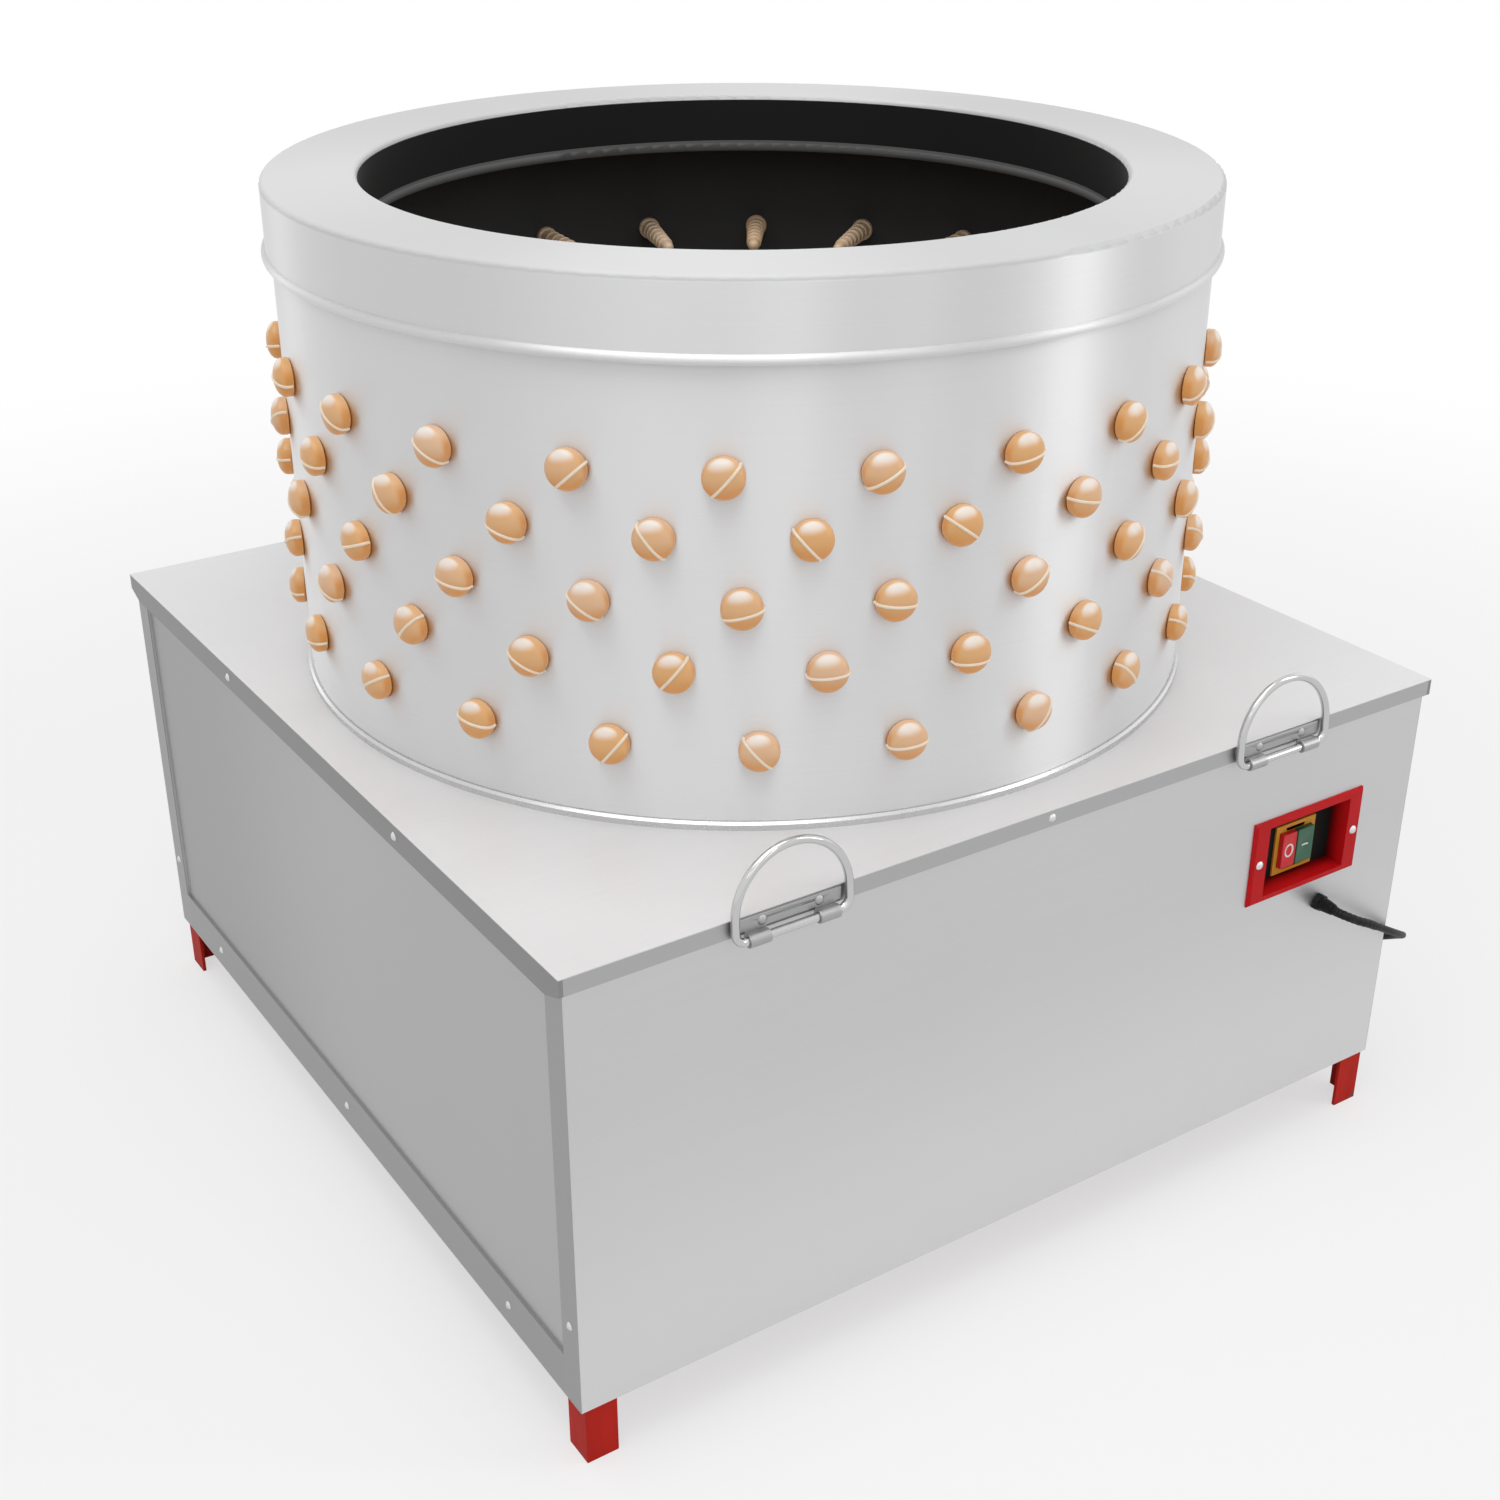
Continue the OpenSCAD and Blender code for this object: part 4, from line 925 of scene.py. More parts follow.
def settle(
    made: bpy.types.Object, finish: Finish, body: Body, stands_for: Iterable[str] = ()
) -> bpy.types.Object:
    """Lets a new piece ride on a body and reports it.

    Args:
        made: The new piece.
        finish: Its finish.
        body: Body that it rides on.
        stands_for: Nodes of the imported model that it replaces.

    Returns:
        The same piece.
    """
    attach(made, body.value)
    nodes = list(stands_for)
    if nodes:
        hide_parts(*nodes)
    LOG.info("piece %s on %s, %s", made.name, body.value, finish.name)
    return made


def dress(finish: Finish, *nodes: str, rounding: float = 0.0) -> None:
    """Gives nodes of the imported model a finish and, where asked, softer edges.

    Args:
        finish: Finish of the nodes.
        nodes: Names of the nodes.
        rounding: Width of the softened edges, in metres.
    """
    for name in nodes:
        made = frame["nodes"][name]
        made.data.materials.clear()
        made.data.materials.append(finish.material())
        if rounding:
            soften(made, rounding)
        LOG.info("node %s, %s", name, finish.name)


def soften(made: bpy.types.Object, width: float, steps: int = 3, bend: float = 50.0) -> None:
    """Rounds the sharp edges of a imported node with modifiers.

    Args:
        made: Object of the node.
        width: Width of the rounding, in metres.
        steps: Steps of the rounding.
        bend: Angle from which an edge is rounded, in degrees.
    """
    normals = made.data.attributes.get("custom_normal")
    if normals:
        made.data.attributes.remove(normals)
    made.data.shade_smooth()
    weld = made.modifiers.new("weld", "WELD")
    weld.merge_threshold = 0.001 * MM
    bevel = made.modifiers.new("round", "BEVEL")
    bevel.width = width
    bevel.segments = steps
    bevel.limit_method = "ANGLE"
    bevel.angle_limit = math.radians(bend)
    bevel.harden_normals = True


def frontward(x: float, y: float, z: float) -> Matrix:
    """Place whose +Z points to the front."""
    turn = Vector((0, -1, 0)).to_track_quat("Z", "Y").to_matrix().to_4x4()
    return Matrix.Translation((x, y, z)) @ turn


def metres(profile: Iterable[tuple[float, float]]) -> list[tuple[float, float]]:
    """A profile in metres from one in millimetres."""
    return [(radius * MM, height * MM) for radius, height in profile]


def fluted(
    count: int, depth: float, low: float, high: float
) -> Callable[[float, float], float]:
    """Flutes cut along a turned shape.

    Args:
        count: Flutes round the shape.
        depth: Share of the radius that each flute takes.
        low: Height where the flutes start, in metres.
        high: Height where they end, in metres.

    Returns:
        Factor on the radius, by angle and height.
    """

    def factor(angle: float, height: float) -> float:
        """One on a land, less in a flute."""
        cut = low < height < high and math.cos(count * angle) < 0
        return 1.0 - depth if cut else 1.0

    return factor


# Camera and studio


def look_ahead(made: bpy.types.Object, place: Point, ahead: Vector) -> None:
    """Puts a camera or a lamp in its place and turns it.

    Args:
        made: The camera or lamp.
        place: Its place.
        ahead: Direction that it faces.
    """
    made.location = place
    made.rotation_mode = "QUATERNION"
    made.rotation_quaternion = ahead.to_track_quat("-Z", "Y")


@dataclass
class Eye:
    """Camera at the photograph's place."""

    place: Point = (-0.86484, -1.31612, 1.07584)
    yaw: float = 0.5847
    pitch: float = 0.4675
    focal_px: float = 2068.8
    picture_px: float = 1500.0
    sensor_mm: float = 36.0
    reach: float = 60.0

    def build(self) -> bpy.types.Object:
        """Makes the camera and looks through it.

        Returns:
            The camera.
        """
        data = bpy.data.cameras.new("eye")
        data.sensor_width = self.sensor_mm
        data.lens = self.sensor_mm * self.focal_px / self.picture_px
        data.clip_end = self.reach
        level = math.cos(self.pitch)
        x, y = math.sin(self.yaw) * level, math.cos(self.yaw) * level
        made = stand("eye", data)
        look_ahead(made, self.place, Vector((x, y, -math.sin(self.pitch))))
        bpy.context.scene.camera = made
        return made


@dataclass(frozen=True)
class Softbox:
    """One soft lamp that faces a point."""

    name: str
    place: Point
    width: float
    height: float
    power: float
    aim: Point = (0.0, 0.0, 0.5)

    def build(self) -> None:
        """Hangs the lamp."""
        data = bpy.data.lights.new(self.name, "AREA")
        data.shape = "RECTANGLE"
        data.size = self.width
        data.size_y = self.height
        data.energy = self.power
        made = stand(self.name, data)
        look_ahead(made, self.place, Vector(self.aim) - Vector(self.place))
        made.visible_camera = False


@dataclass
class Studio:
    """Pale floor, even surroundings and soft lamps."""

    floor_half: float = 30.0
    floor_colour: Rgb = (0.82, 0.82, 0.82)
    glow_near: float = 0.62
    glow_from: float = 0.8
    glow_to: float = 2.4
    ambient: float = 0.45
    gloss_share: float = 1.0
    gloss_glow: float = 0.8
    lamps: list[Softbox] = field(default_factory=lambda: [
        Softbox("key_lamp", (1.85, -1.86, 1.7), 0.34, 2.0, 9.0),
        Softbox("middle_lamp", (0.18, -2.6, 1.8), 0.14, 2.0, 1.7),
        Softbox("front_lamp", (-0.97, -2.4, 2.0), 0.25, 1.6, 2.2),
        Softbox("left_lamp", (-2.3, -1.6, 2.4), 0.5, 0.5, 1.4),
        Softbox("right_lamp", (2.6, -0.1, 1.4), 1.4, 1.4, 2.0),
        Softbox("back_lamp", (-0.9, 2.4, 1.2), 0.5, 1.6, 2.0),
        Softbox("top_lamp", (-0.6, -0.4, 3.2), 2.4, 2.4, 48.0, (-0.2, -0.1, 0.4)),
    ])

    def seen(self, graph: Graph, gloss: float) -> Value:
        """One for rays from the camera or through glass, and less for rays from a gloss.

        Args:
            graph: Graph of the floor or the world.
            gloss: Share for rays from a gloss.

        Returns:
            The share of white that the ray sees.
        """
        path = graph.node("ShaderNodeLightPath", out="Is Camera Ray")
        outputs = path.socket.node.outputs
        direct = path.most(Value(graph, outputs["Is Transmission Ray"]))
        return direct.most(Value(graph, outputs["Is Glossy Ray"]) * gloss)

    def build(self) -> None:
        """Sets the colour handling, the surroundings, the floor and the lamps."""
        scene = bpy.context.scene
        scene.view_settings.view_transform = "Standard"
        world = bpy.data.worlds.new("surroundings")
        world.use_nodes = True
        scene.world = world
        graph = Graph(world.node_tree)
        strength = self.ambient + (1 - self.ambient) * self.seen(graph, self.gloss_share)
        sky = graph.node("ShaderNodeBackground", None, {"Color": WHITE, "Strength": strength})
        graph.node("ShaderNodeOutputWorld", None, {"Surface": sky})
        self.floor()
        for lamp in self.lamps:
            lamp.build()
        LOG.info("studio with %d lamps", len(self.lamps))

    def floor(self) -> None:
        """Lays a pale floor that keeps the object's shadow and fades to white."""
        half = self.floor_half
        mesh = bpy.data.meshes.new("floor")
        corners = [(-half, -half, 0.0), (half, -half, 0.0), (half, half, 0.0), (-half, half, 0.0)]
        mesh.from_pydata(corners, [], [(0, 1, 2, 3)])
        material = bpy.data.materials.new("pale_floor")
        material.use_nodes = True
        graph = Graph(material.node_tree)
        x, y, _ = graph.axes()
        far = ((x * x + y * y) ** 0.5).rise(self.glow_from, self.glow_to)
        share = self.seen(graph, self.gloss_glow) * (self.glow_near + (1 - self.glow_near) * far)
        paint = {"Base Color": rgba(self.floor_colour), "Roughness": 0.9}
        matt = graph.node("ShaderNodeBsdfPrincipled", None, paint)
        glow = graph.node("ShaderNodeEmission", None, {"Color": WHITE, "Strength": 1.0})
        mixed = graph.node("ShaderNodeMixShader", None, {0: share, 1: matt, 2: glow})
        graph.node("ShaderNodeOutputMaterial", None, {"Surface": mixed})
        mesh.materials.append(material)
        stand("floor", mesh)


# Power cord


@dataclass
class PowerCord:
    """Lead from the gland round the corner to a tied coil and its plug."""

    diameter: float = 6 * MM
    gland: Point = (294 * MM, -401 * MM, 226 * MM)
    coil_z: float = 4.2 * MM
    coil_middle: tuple[float, float] = (438 * MM, -80 * MM)
    coil_r: float = 48 * MM
    step: float = 6.6 * MM
    turns: int = 3
    boot_steps: tuple[Point, ...] = (
        (0, 0, 1), (0, -2.5, 1), (0, -5, 1), (3, -12, 0.995), (11, -17, 0.977), (22, -19, 0.953),
        (29, -19, 0.934),
    )
    cord_steps: tuple[Point, ...] = (
        (29, -19, 0.934), (36, -19, 0.916), (55, -17, 0.864), (76, -10, 0.803), (96, 4, 0.738),
        (110, 24, 0.667), (116, 48, 0.592), (118, 73, 0.503), (118, 101, 0.4), (117, 129, 0.292),
        (114, 157, 0.189), (109, 185, 0.1), (103, 213, 0.039), (98, 241, 0.006), (96, 271, 0),
        (96, 299, 0), (96, 314, 0), (96, 321, 0),
    )
    hexagon: Profile = ((6.9, 0), (7.5, 0.4), (7.5, 4.4), (6.7, 5), (5.6, 5))
    cap: Profile = (
        (5.2, 4.6), (5.5, 5.2), (5.5, 9.6), (5.4, 10.2), (5.1, 13), (4.6, 16.6), (4.4, 17),
        (4.0, 16.9),
    )
    thread: Profile = ((5.1, -8), (5.1, 0.4))
    grip: Profile = (
        (5.0, 14.0), (7.5, 17.6), (8.2, 20.0), (8.6, 32.0), (10.0, 43.0), (10.5, 46.0),
        (10.5, 53.3), (10.0, 54.0), (0.0, 54.0),
    )
    pin: Profile = ((2.4, 53.6), (2.4, 70.4), (2.2, 71.7), (1.6, 72.6), (0.8, 73.0), (0.0, 73.0))
    pin_x: float = 6.8 * MM
    gland_reach: float = 17 * MM
    cap_flutes: tuple[int, float, float, float] = (16, 0.045, 5.4 * MM, 14 * MM)
    grip_flutes: tuple[int, float, float, float] = (18, 0.035, 19 * MM, 40 * MM)
    boot_r: float = 3.9
    boot_taper: float = 0.5
    boot_cut: float = 0.4
    sleeve_rings: int = 5
    sleeve_step: float = 2.6
    tie_near: float = 23.6 * MM
    tie_far: float = 51.7 * MM
    tie_tail: float = 22 * MM

    def route(self, steps: Sequence[Point]) -> list[Vector]:
        """Places steps from the gland: X and Y in millimetres, and the share of its height.

        Args:
            steps: The steps.

        Returns:
            Points of the route.
        """
        x, y, z = self.gland
        drop = z - self.coil_z
        return [Vector((x + a * MM, y + b * MM, self.coil_z + drop * c)) for a, b, c in steps]

    @staticmethod
    def smooth(points: Sequence[Vector], steps: int) -> list[Vector]:
        """Smooth curve through points.

        Args:
            points: Points to pass through.
            steps: Parts between neighbours.

        Returns:
            Closer points on the curve.
        """
        last = len(points) - 1
        found = []
        for i in range(last):
            a, b, c, d = points[max(i - 1, 0)], points[i], points[i + 1], points[min(i + 2, last)]
            for s in range(steps):
                t = s / steps
                found.append(0.5 * (2 * b + t * (c - a) + t * t * (2 * a - 5 * b + 4 * c - d)
                                    + t**3 * (3 * b - a - 3 * c + d)))
        return [*found, points[last].copy()]

    def coil_point(self, turn: float) -> Vector:
        """Point of the coil after a number of turns: in below, up a layer and out above.

        Args:
            turn: Turns from where the coil starts.

        Returns:
            The point.
        """
        inner = self.coil_r - self.step * self.turns
        past = turn - self.turns
        if past < 0:
            radius, height = self.coil_r - self.step * turn, self.coil_z
        elif past < 0.5:
            radius = inner - self.step / 4 * math.sin(math.tau * past)
            height = self.coil_z + self.step * (1 - math.cos(math.tau * past)) / 2
        else:
            radius, height = inner + self.step * (past - 0.5), self.coil_z + self.step
        angle = math.tau * turn
        x, y = self.coil_middle
        return Vector((x - radius * math.cos(angle), y + radius * math.sin(angle), height))

    def path(self) -> list[Vector]:
        """Whole middle line of the cord.

        Returns:
            Points from the boot to the plug.
        """
        end = 2 * self.turns + 0.5
        count = round(end * 48)
        coil = [self.coil_point(end * i / count) for i in range(1, count + 1)]
        lead = self.smooth(self.route(self.cord_steps), 6)
        return [*lead, *coil, coil[-1] + Vector((0, -self.diameter, 0))]

    def build(self) -> None:
        """Makes the lead with its gland, boot, tie and plug."""
        path = self.path()
        curve = bpy.data.curves.new("power_lead", "CURVE")
        curve.dimensions = "3D"
        curve.bevel_depth = self.diameter / 2
        curve.bevel_resolution = 4
        curve.use_fill_caps = True
        line = curve.splines.new("POLY")
        line.points.add(len(path) - 1)
        for spot, point in zip(line.points, path):
            spot.co = (*point, 1.0)
        curve.materials.append(CORD_BLACK.material())
        lead = stand("power_lead", curve)
        settle(lead, CORD_BLACK, Body.MACHINE, ["power_cord", "cord_coil"])
        extras = [self.gland_nut(), self.boot(), self.tie()]
        extras += [self.plug_body(path[-1]), self.plug_pins(path[-1])]
        length = sum((b - a).length for a, b in zip(path, path[1:]))
        LOG.info("cord of %.3f m", length)

    def gland_nut(self) -> bpy.types.Object:
        """Cable gland: a chamfered hexagon and a fluted, tapered cap.

        Returns:
            The new piece.
        """
        shell = Shell()
        x, y, z = self.gland
        place = frontward(x, y + self.gland_reach, z)
        turned = place @ Matrix.Rotation(math.radians(30.0), 4, "Z")
        shell.lathe(metres(self.hexagon), 6, turned)
        shell.lathe(metres(self.cap), 64, place, fluted(*self.cap_flutes))
        shell.lathe(metres(self.thread), 32, place)
        return shell.piece("gland_nut", GLAND_BLACK, Body.MACHINE, ["cable_gland"], 25.0)

    def boot(self) -> bpy.types.Object:
        """Bent strain relief with rings cut round it.

        Returns:
            The new piece.
        """
        path = self.smooth(self.route(self.boot_steps), 9)
        last = len(path) - 1
        radii = []
        for i in range(last + 1):
            cut = self.boot_cut if i % 4 == 2 and 6 < i < last - 3 else 0.0
            radii.append((self.boot_r - self.boot_taper * i / last - cut) * MM)
        shell = Shell()
        shell.tube(path, radii, 24)
        return shell.piece("strain_relief", CORD_BLACK, Body.MACHINE, ["cord_boot"], 50.0)

    def tie(self) -> bpy.types.Object:
        """Hook-and-loop strap round all the turns, with a free end laid back on itself.

        Returns:
            The new piece.
        """
        low, high = 0.3 * MM, self.coil_z + self.step + 3.8 * MM
        near, far = self.tie_near, self.tie_far
        bend, thick, half = 3.0 * MM, 0.8 * MM, 4.5 * MM
        line = []
        corners = (
            (far - bend, low + bend, -90), (far - bend, high - bend, 0),
            (near + bend, high - bend, 90), (near + bend, low + bend, 180),
        )
        for r, z, first in corners:
            for k in range(7):
                angle = math.radians(first + 15 * k)
                a, b = math.cos(angle), math.sin(angle)
                line.append((r + bend * a, z + bend * b, a, b))
        x, y = self.coil_middle
        ease, under = 0.15 * MM, thick - 0.1 * MM
        section = ((-1, ease), (-0.9, 0.0), (0.9, 0.0), (1, ease), (1, under), (-1, under))
        loops = [
            [Vector((x + side * half, y + r - a * inset, z - b * inset)) for side, inset in section]
            for r, z, a, b in line
        ]
        shell = Shell()
        shell.sweep(loops, closed=True)
        free_end = []
        for t in (0.0, 0.15, 0.4, 0.7, 0.95, 1.0):
            reach, lift, foot = half - 0.4 * MM, 0.7 * MM * (1 - 0.5 * t), -0.1 * MM
            spots = ((-reach, foot), (reach, foot), (reach, lift), (-reach, lift))
            back = y + far - bend - self.tie_tail * t
            free_end.append([Vector((x + u, back, high + v)) for u, v in spots])
        shell.sweep(free_end)
        return shell.piece("coil_strap", STRAP_BLACK, Body.MACHINE, ["cord_tie"], 50.0)

    def plug_place(self, end: Vector) -> Matrix:
        """Place of the plug, whose +Z runs from the cord's end to the pins."""
        return frontward(*end)

    def plug_body(self, end: Vector) -> bpy.types.Object:
        """Plug body with a ringed sleeve and a fluted grip.

        Args:
            end: End of the cord.

        Returns:
            The new piece.
        """
        sleeve = []
        for k in range(self.sleeve_rings):
            z = 1.0 + self.sleeve_step * k
            grow = 4.0 + 0.2 * k
            sleeve += [(grow, z), (grow, z + 1.5), (grow - 0.7, z + 1.6), (grow - 0.7, z + 2.5)]
        body = [(3.2, 0.0), (3.8, 0.1), *sleeve, *self.grip]
        shell = Shell()
        flutes = fluted(*self.grip_flutes)
        shell.lathe(metres(body), 72, self.plug_place(end), flutes)
        return shell.piece("plug_body", GLAND_BLACK, Body.MACHINE, ["plug"], 25.0)

    def plug_pins(self, end: Vector) -> bpy.types.Object:
        """Two round pins with domed tips.

        Args:
            end: End of the cord.

        Returns:
            The new piece.
        """
        shell = Shell()
        for x in (-self.pin_x, self.pin_x):
            place = self.plug_place(end) @ Matrix.Translation((x, 0, 0))
            shell.lathe(metres(self.pin), 24, place)
        return shell.piece("plug_pins", BRIGHT, Body.MACHINE)


# Fingers


@dataclass
class PluckingFinger:
    """One moulded finger; its axis is +Z out of the sheet and z = 0 is the sheet's outer face."""

    sheet: float = 1.8
    head_r: float = 14.0
    head_h: float = 12.5
    head_side: float = 5.0
    neck_r: float = 8.0
    collar_r: float = 9.5
    collar_h: float = 5.0
    length: float = 86.0
    root_r: float = 7.5
    tip_r: float = 5.0
    ribs: int = 6
    rib_r: float = 1.2
    sides: int = 28
    flash_r: float = 1.1

    def dome(self, radius: float) -> float:
        """Height of the domed head at a distance from its axis, in millimetres."""
        share = min(radius / self.head_r, 1.0)
        return self.head_side + (self.head_h - self.head_side) * math.sqrt(1 - share**2)

    def head_profile(self) -> list[tuple[float, float]]:
        """Profile of the head from its top to its underside.

        Returns:
            Radius and height of each point, in millimetres.
        """
        reach = [self.head_r * math.sin(math.radians(9 * k)) for k in range(11)]
        side = [(self.head_r, 1.4), (self.head_r - 0.4, 0.5), (self.head_r - 1.2, 0.1)]
        return [*((r, self.dome(r)) for r in reach), *side, (self.neck_r, 0.02)]

    def shank_profile(self) -> list[tuple[float, float]]:
        """Profile of the neck, collar, ribbed taper and tip.

        Returns:
            Radius and height of each point, in millimetres.
        """
        back, root = -self.sheet, -self.sheet - self.collar_h
        tip = self.tip_r - self.sheet - self.length
        found = [
            (self.neck_r, 0.0),
            (self.neck_r, back),
            (self.collar_r - 0.6, back),
            (self.collar_r, back - 0.6),
            (self.collar_r, root + 1.0),
            (self.collar_r - 1.0, root),
            (self.root_r, root - 0.4),
        ]
        step = (tip - root) / (self.ribs + 1)
        for i in range(1, self.ribs + 1):
            radius = self.root_r + (self.tip_r - self.root_r) * i / (self.ribs + 1)
            for angle in map(math.radians, (-90, -45, 0, 45, 90)):
                height = root + i * step - self.rib_r * math.sin(angle)
                found.append((radius + self.rib_r * math.cos(angle), height))
        for angle in map(math.radians, (0, 22, 45, 66, 90)):
            found.append((self.tip_r * math.cos(angle), tip - self.tip_r * math.sin(angle)))
        ordered = [found[0]]
        for radius, height in found[1:]:
            ordered.append((radius, min(height, ordered[-1][1] - 0.001)))
        return ordered

    def flash_line(self, offset: float, turn: float) -> list[Vector]:
        """Ridge that the mould leaves across the head.

        Args:
            offset: Distance of the ridge from the head's top, in millimetres.
            turn: Turn of the ridge about the finger's axis.

        Returns:
            Middle of the ridge, in metres.
        """
        spin = Matrix.Rotation(turn, 3, "Z")
        half = math.sqrt(self.head_r**2 - offset**2)
        line = []
        for k in range(17):
            x = half * math.sin(math.radians(90 * (k / 8 - 1)))
            line.append(Vector((x, offset, self.dome(math.hypot(x, offset)) - 0.15)))
        foot = Vector((0.0, 0.0, self.head_side - 1.5))
        line = [line[0] - foot, *line, line[-1] - foot]
        return [spin @ (p * MM) for p in line]

    def add_to(self, shell: Shell, place: Matrix, draw: random.Random, inner: float) -> None:
        """Adds one finger with its own tint and flash.

        Args:
            shell: Mesh that grows.
            place: Where the finger goes.
            draw: Source of the finger's tint and flash.
            inner: How used its shank is, from zero to one.
        """
        tint = draw.random() ** 2
        turn, offset = draw.uniform(-0.9, 0.9), draw.uniform(-5.5, 0.5)
        shell.lathe(metres(self.head_profile()), self.sides, place, tint=tint)
        shell.lathe(metres(self.shank_profile()), self.sides, place, tint=tint, inner=inner)
        line = [place @ p for p in self.flash_line(offset, turn)]
        shell.tube(line, [self.flash_r * MM] * len(line), 8, tint=tint, flash=1.0)


@dataclass
class Drum:
    """Drum wall, rim, foot ring and the rows of wall fingers."""

    radius: float = 350 * MM
    row_heights: tuple[float, ...] = (648, 606, 560, 514, 458)
    row_count: int = 22
    row_turn: float = 5.6
    row_shift: float = 9.1
    seed: int = 100
    wear: float = 0.6
    finger: PluckingFinger = field(default_factory=PluckingFinger)

    def build(self) -> None:
        """Dresses the sheet and fits the fingers."""
        dress(DRUM_STEEL, "drum_shell")
        dress(RIM_STEEL, "drum_rim")
        dress(RING_STEEL, "drum_base_ring")
        for row, height in enumerate(self.row_heights):
            self.finger_row(row, height * MM)

    def finger_row(self, row: int, height: float) -> bpy.types.Object:
        """One row of fingers round the wall.

        Args:
            row: Number of the row, from the top.
            height: Height of the row.

        Returns:
            The new piece.
        """
        shell = Shell()
        draw = random.Random(self.seed + row)
        for i in range(self.row_count):
            angle = math.radians(self.row_turn + row * self.row_shift + i * 360 / self.row_count)
            out = Vector((math.cos(angle), math.sin(angle), 0.0))
            along = Vector((-math.sin(angle), math.cos(angle), 0.0))
            turn = Matrix((along, Vector((0, 0, 1)), out)).transposed().to_4x4()
            place = Matrix.Translation(out * self.radius + Vector((0, 0, height))) @ turn
            self.finger.add_to(shell, place, draw, self.wear)
        name = f"wall_fingers_{row + 1}"
        return shell.piece(name, RUBBER, Body.MACHINE, [f"wall_fingers_row_{row + 1}"], 35.0)


@dataclass
class Rotor:
    """Turning finger plate with its hub, shaft and driven pulley."""

    under: float = 410 * MM
    seed: int = 200
    wear: float = 0.8
    rings: tuple[tuple[str, int, float], ...] = (("outer", 18, 230.5 * MM), ("inner", 9, 125 * MM))
    finger: PluckingFinger = field(default_factory=lambda: PluckingFinger(sheet=3.0))

    def build(self) -> None:
        """Dresses the turned pieces and fits both rings of fingers."""
        dress(PLATE_STEEL, "rotor_plate")
        dress(IRON, "rotor_hub", "driven_pulley")
        dress(BRIGHT, "rotor_hub_bolts", "main_shaft", "shaft_nut")
        for i, (ring, count, radius) in enumerate(self.rings):
            self.finger_ring(ring, count, radius, random.Random(self.seed + i))

    def finger_ring(
        self, ring: str, count: int, radius: float, draw: random.Random
    ) -> bpy.types.Object:
        """One ring of fingers on the plate, heads below.

        Args:
            ring: Name of the ring.
            count: Fingers in the ring.
            radius: Radius of the ring.
            draw: Source of the fingers' tints.

        Returns:
            The new piece.
        """
        shell = Shell()
        for i in range(count):
            angle = math.radians((i + 0.5) * 360 / count)
            x, y = radius * math.cos(angle), radius * math.sin(angle)
            place = Matrix.Translation((x, y, self.under)) @ Matrix.Rotation(math.pi, 4, "X")
            self.finger.add_to(shell, place, draw, self.wear)
        nodes = [f"rotor_fingers_{ring}"]
        return shell.piece(f"plate_fingers_{ring}", RUBBER, Body.ROTOR, nodes, 35.0)


# Cabinet, drive, switch and handles


@dataclass
class Cabinet:
    """Angle-iron frame, sheet panels, lid, feather tray and small screws."""

    edge: float = 0.6 * MM

    def build(self) -> None:
        """Dresses the frame and the sheets."""
        dress(RED_ENAMEL, "corner_legs", rounding=self.edge)
        dress(RED_ENAMEL, "top_rails", "bottom_rails", "cross_beams")
        dress(RED_ENAMEL, "spindle_plate", "motor_plate")
        dress(LID_STEEL, "lid")
        dress(PANEL_STEEL, "front_panel", "back_panel")
        dress(SIDE_STEEL, "left_panel", "right_panel")
        dress(SILL_STEEL, "side_sills")
        dress(TRAY_STEEL, "feather_tray")
        dress(BRIGHT, "panel_screws")


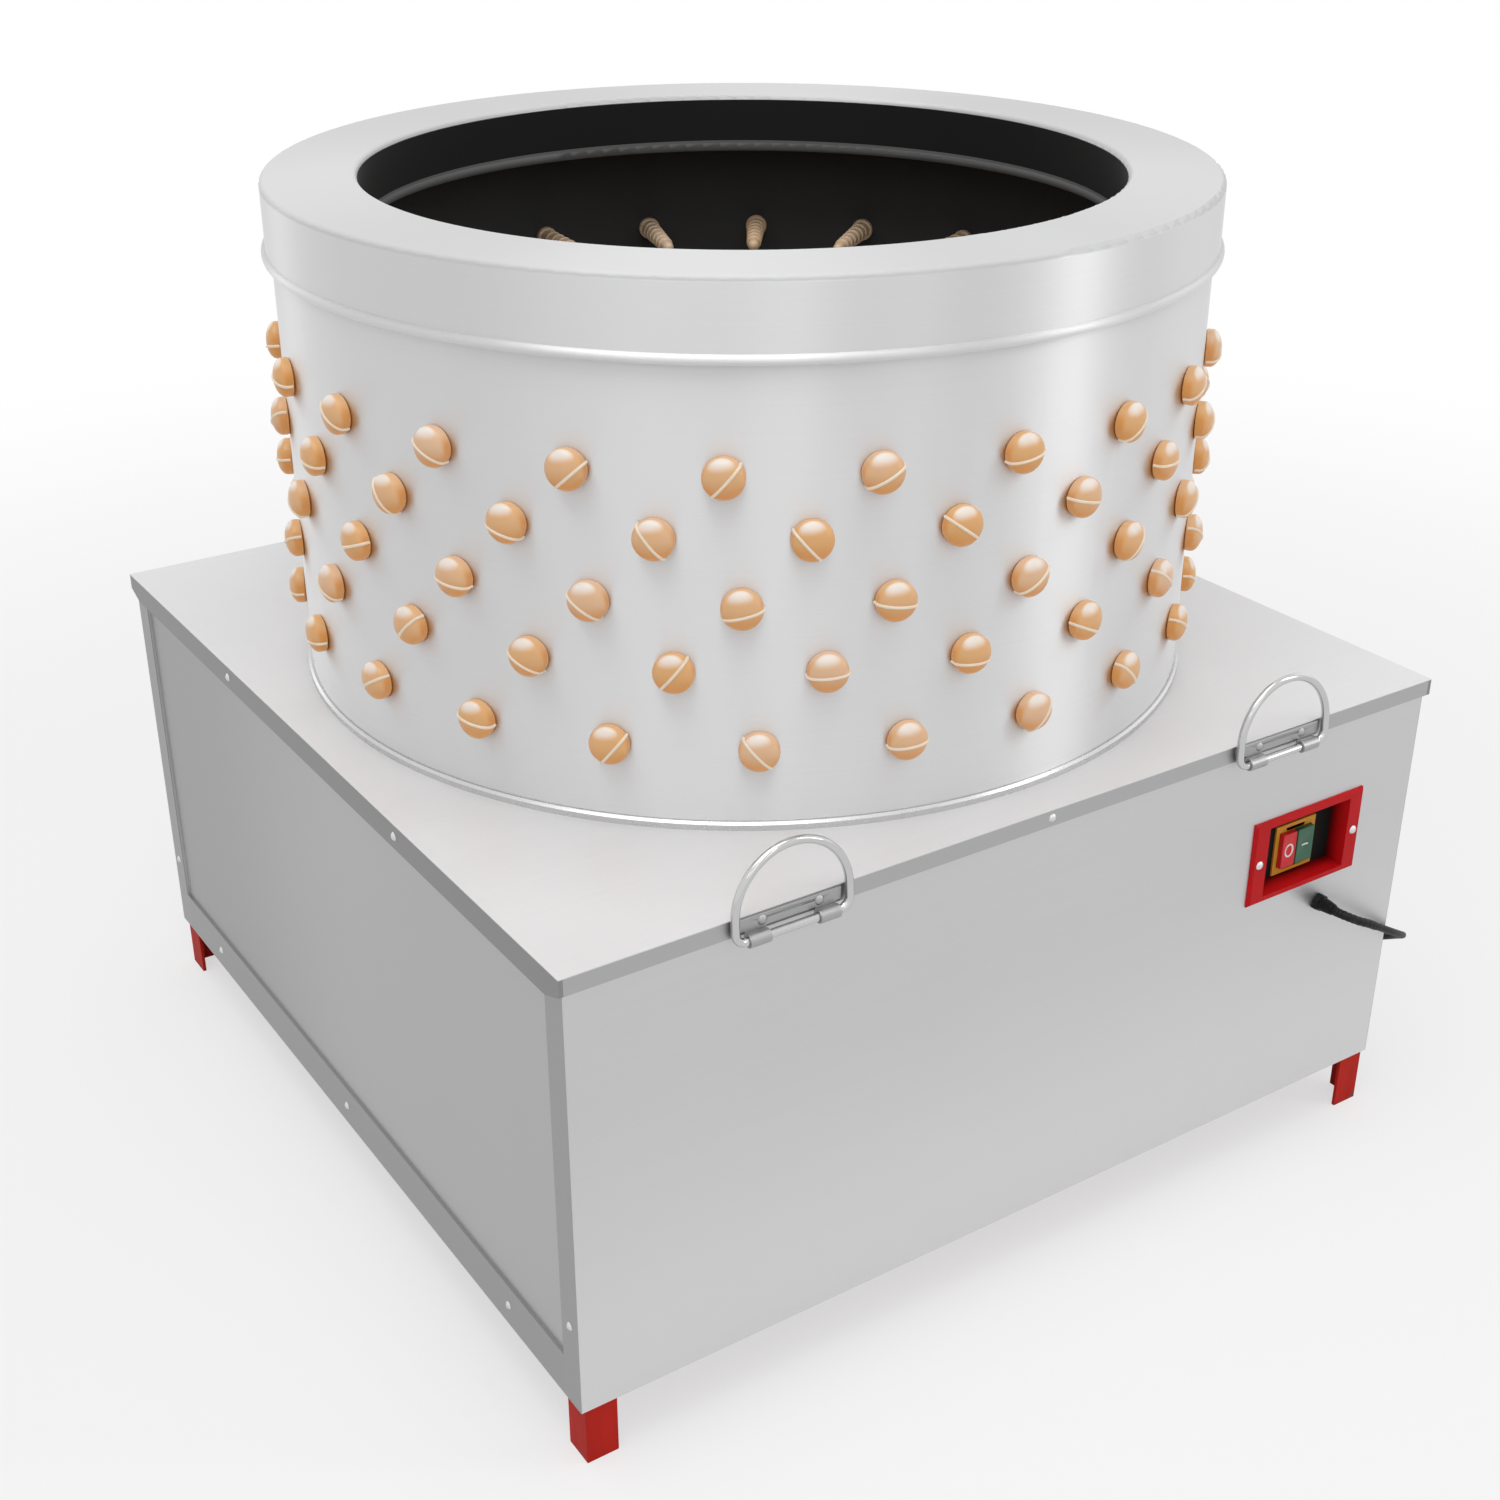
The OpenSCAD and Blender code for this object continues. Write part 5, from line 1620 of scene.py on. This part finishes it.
@dataclass
class Drive:
    """Motor, spindle and V-belt under the tray."""

    big_r: float = 140 * MM
    small_r: float = 35 * MM
    distance: float = 250 * MM
    height: float = 60 * MM
    belt_w: float = 13 * MM
    belt_t: float = 8 * MM
    flank: float = 19.0
    cogs: int = 120
    cog_root: float = 0.72

    def build(self) -> None:
        """Dresses the castings and lays the belt."""
        dress(IRON, "spindle_housing", "motor_pulley")
        dress(BRIGHT, "spindle_bolts", "upper_bearing", "lower_bearing")
        dress(BRIGHT, "motor_bolts", "motor_shaft")
        dress(MOTOR_GREY, "motor_flange", "motor_body", "motor_fan_cover", "motor_terminal_box")
        self.belt()

    def stations(self) -> list[tuple[Vector, Vector]]:
        """Evenly spaced points along the belt's back.

        Returns:
            Each point with its outward direction.
        """
        lean = math.asin((self.big_r - self.small_r) / self.distance)
        arcs = (
            (0.0, self.big_r, -lean, math.pi + 2 * lean),
            (-self.distance, self.small_r, math.pi + lean, math.pi - 2 * lean),
        )
        fine: list[tuple[Vector, Vector]] = []
        for y, radius, first, turn in arcs:
            for i in range(241):
                angle = first + turn * i / 240
                out = Vector((math.cos(angle), math.sin(angle), 0.0))
                fine.append((Vector((0.0, y, self.height)) + radius * out, out))
        fine.append(fine[0])
        lengths = [(b[0] - a[0]).length for a, b in zip(fine, fine[1:])]
        wanted = [sum(lengths) * k / (4 * self.cogs) for k in range(4 * self.cogs)]
        found, gone, i = [], 0.0, 0
        for mark in wanted:
            while gone + lengths[i] < mark:
                gone += lengths[i]
                i += 1
            share = (mark - gone) / lengths[i] if lengths[i] else 0.0
            (a, u), (b, v) = fine[i], fine[i + 1]
            found.append((a.lerp(b, share), u.lerp(v, share).normalized()))
        return found

    def belt(self) -> bpy.types.Object:
        """Raw-edge V-belt with cogs moulded along its inside.

        Returns:
            The new piece.
        """
        shell = Shell()
        slope = math.tan(math.radians(self.flank))
        loops = []
        for i, (point, out) in enumerate(self.stations()):
            depth = self.belt_t * (1.0 if i % 4 in (1, 2) else self.cog_root)
            half, foot = self.belt_w / 2, self.belt_w / 2 - depth * slope
            ease = 0.5 * MM
            back, edge = half - ease, half - 0.2 * MM
            outer = ((0.0, -back), (0.0, back), (ease, edge))
            spots = (*outer, (depth, foot), (depth, -foot), (ease, -edge))
            loops.append([point - out * inset + Vector((0, 0, rise)) for inset, rise in spots])
        shell.sweep(loops, closed=True)
        return shell.piece("drive_belt", BELT, Body.MACHINE, ["v_belt"], 30.0)


@dataclass
class SwitchUnit:
    """Recessed start and stop switch."""

    stop_x: float = 259.4 * MM
    start_x: float = 277.1 * MM
    middle_z: float = 280.0 * MM
    face_y: float = -378.0 * MM
    dish_r: float = 12 * MM
    dish_depth: float = 0.8 * MM
    mark_t: float = 0.25 * MM
    ring_half: tuple[float, float] = (4.0, 5.2)
    bar_half: float = 3.4
    stroke_half: float = 0.75
    plate_edge: float = 0.4 * MM
    button_edge: float = 0.8 * MM

    def build(self) -> None:
        """Dresses the switch and marks its two buttons."""
        dress(SWITCH_RED, "switch_housing")
        dress(SWITCH_BLACK, "switch_block")
        dress(SWITCH_YELLOW, "switch_plate", rounding=self.plate_edge)
        dress(STOP_RED, "stop_button", rounding=self.button_edge)
        dress(START_GREEN, "start_button", rounding=self.button_edge)
        dress(BRIGHT, "switch_screws")
        angles = [math.tau * k / 40 for k in range(40)]
        wide, high = self.ring_half
        ring = [(wide * math.cos(a), high * math.sin(a)) for a in angles]
        self.mark("stop_mark", self.stop_x, ring, True, Body.STOP_KEY)
        bar = [(self.bar_half * (k / 4 - 1), 0.0) for k in range(9)]
        self.mark("start_mark", self.start_x, bar, False, Body.START_KEY)

    def surface_y(self, x: float, z: float) -> float:
        """Front of a dished button at a distance from its middle.

        Args:
            x: Distance along X.
            z: Distance along Z.

        Returns:
            Place of the front along Y.
        """
        reach = math.hypot(x, z)
        dish = math.sqrt(max(self.dish_r**2 - reach**2, 0.0)) - (self.dish_r - self.dish_depth)
        return self.face_y + max(dish, 0.0)

    def mark(
        self, name: str, x: float, line: Sequence[tuple[float, float]], closed: bool, body: Body
    ) -> bpy.types.Object:
        """Printed mark that follows a button's dished front.

        Args:
            name: Name of the piece.
            x: Middle of the button.
            line: Middle of the stroke from the button's middle, in millimetres.
            closed: Whether the stroke is a ring.
            body: Body of the button.

        Returns:
            The new piece.
        """
        half, foot, top, shoulder = self.stroke_half, -0.1 * MM, self.mark_t, 0.5 * self.mark_t
        section = ((-1, foot), (1, foot), (1, shoulder), (0.8, top), (-0.8, top), (-1, shoulder))
        loops = []
        for i, (a, b) in enumerate(line):
            before = line[i - 1] if closed or i else line[0]
            after = line[(i + 1) % len(line)] if closed or i + 1 < len(line) else line[-1]
            run = Vector((after[0] - before[0], after[1] - before[1])).normalized()
            loop = []
            for side, lift in section:
                u, v = (a - side * half * run.y) * MM, (b + side * half * run.x) * MM
                loop.append(Vector((x + u, self.surface_y(u, v) - lift, self.middle_z + v)))
            loops.append(loop)
        shell = Shell()
        shell.sweep(loops, closed=closed)
        return shell.piece(name, MARK_WHITE, body, (), 50.0)


@dataclass
class Handles:
    """Bail handles with their knuckle plates and screws."""

    edge: float = 0.3 * MM

    def build(self) -> None:
        """Dresses the wire, plates and screws."""
        dress(CHROME, "left_bail", "right_bail")
        dress(PLATED, "handle_plates", rounding=self.edge)
        dress(PLATED, "handle_screws")


def main() -> None:
    """Builds the camera, the cord and then each sub-assembly."""
    logging.basicConfig(level=logging.INFO, format="%(name)s: %(message)s")
    Eye().build()
    machine = (PowerCord(), Cabinet(), Drum(), Rotor(), Drive(), SwitchUnit(), Handles())
    for part in (*machine, Studio()):
        LOG.info("building %s", type(part).__name__)
        part.build()


if __name__ == "__main__":
    main()
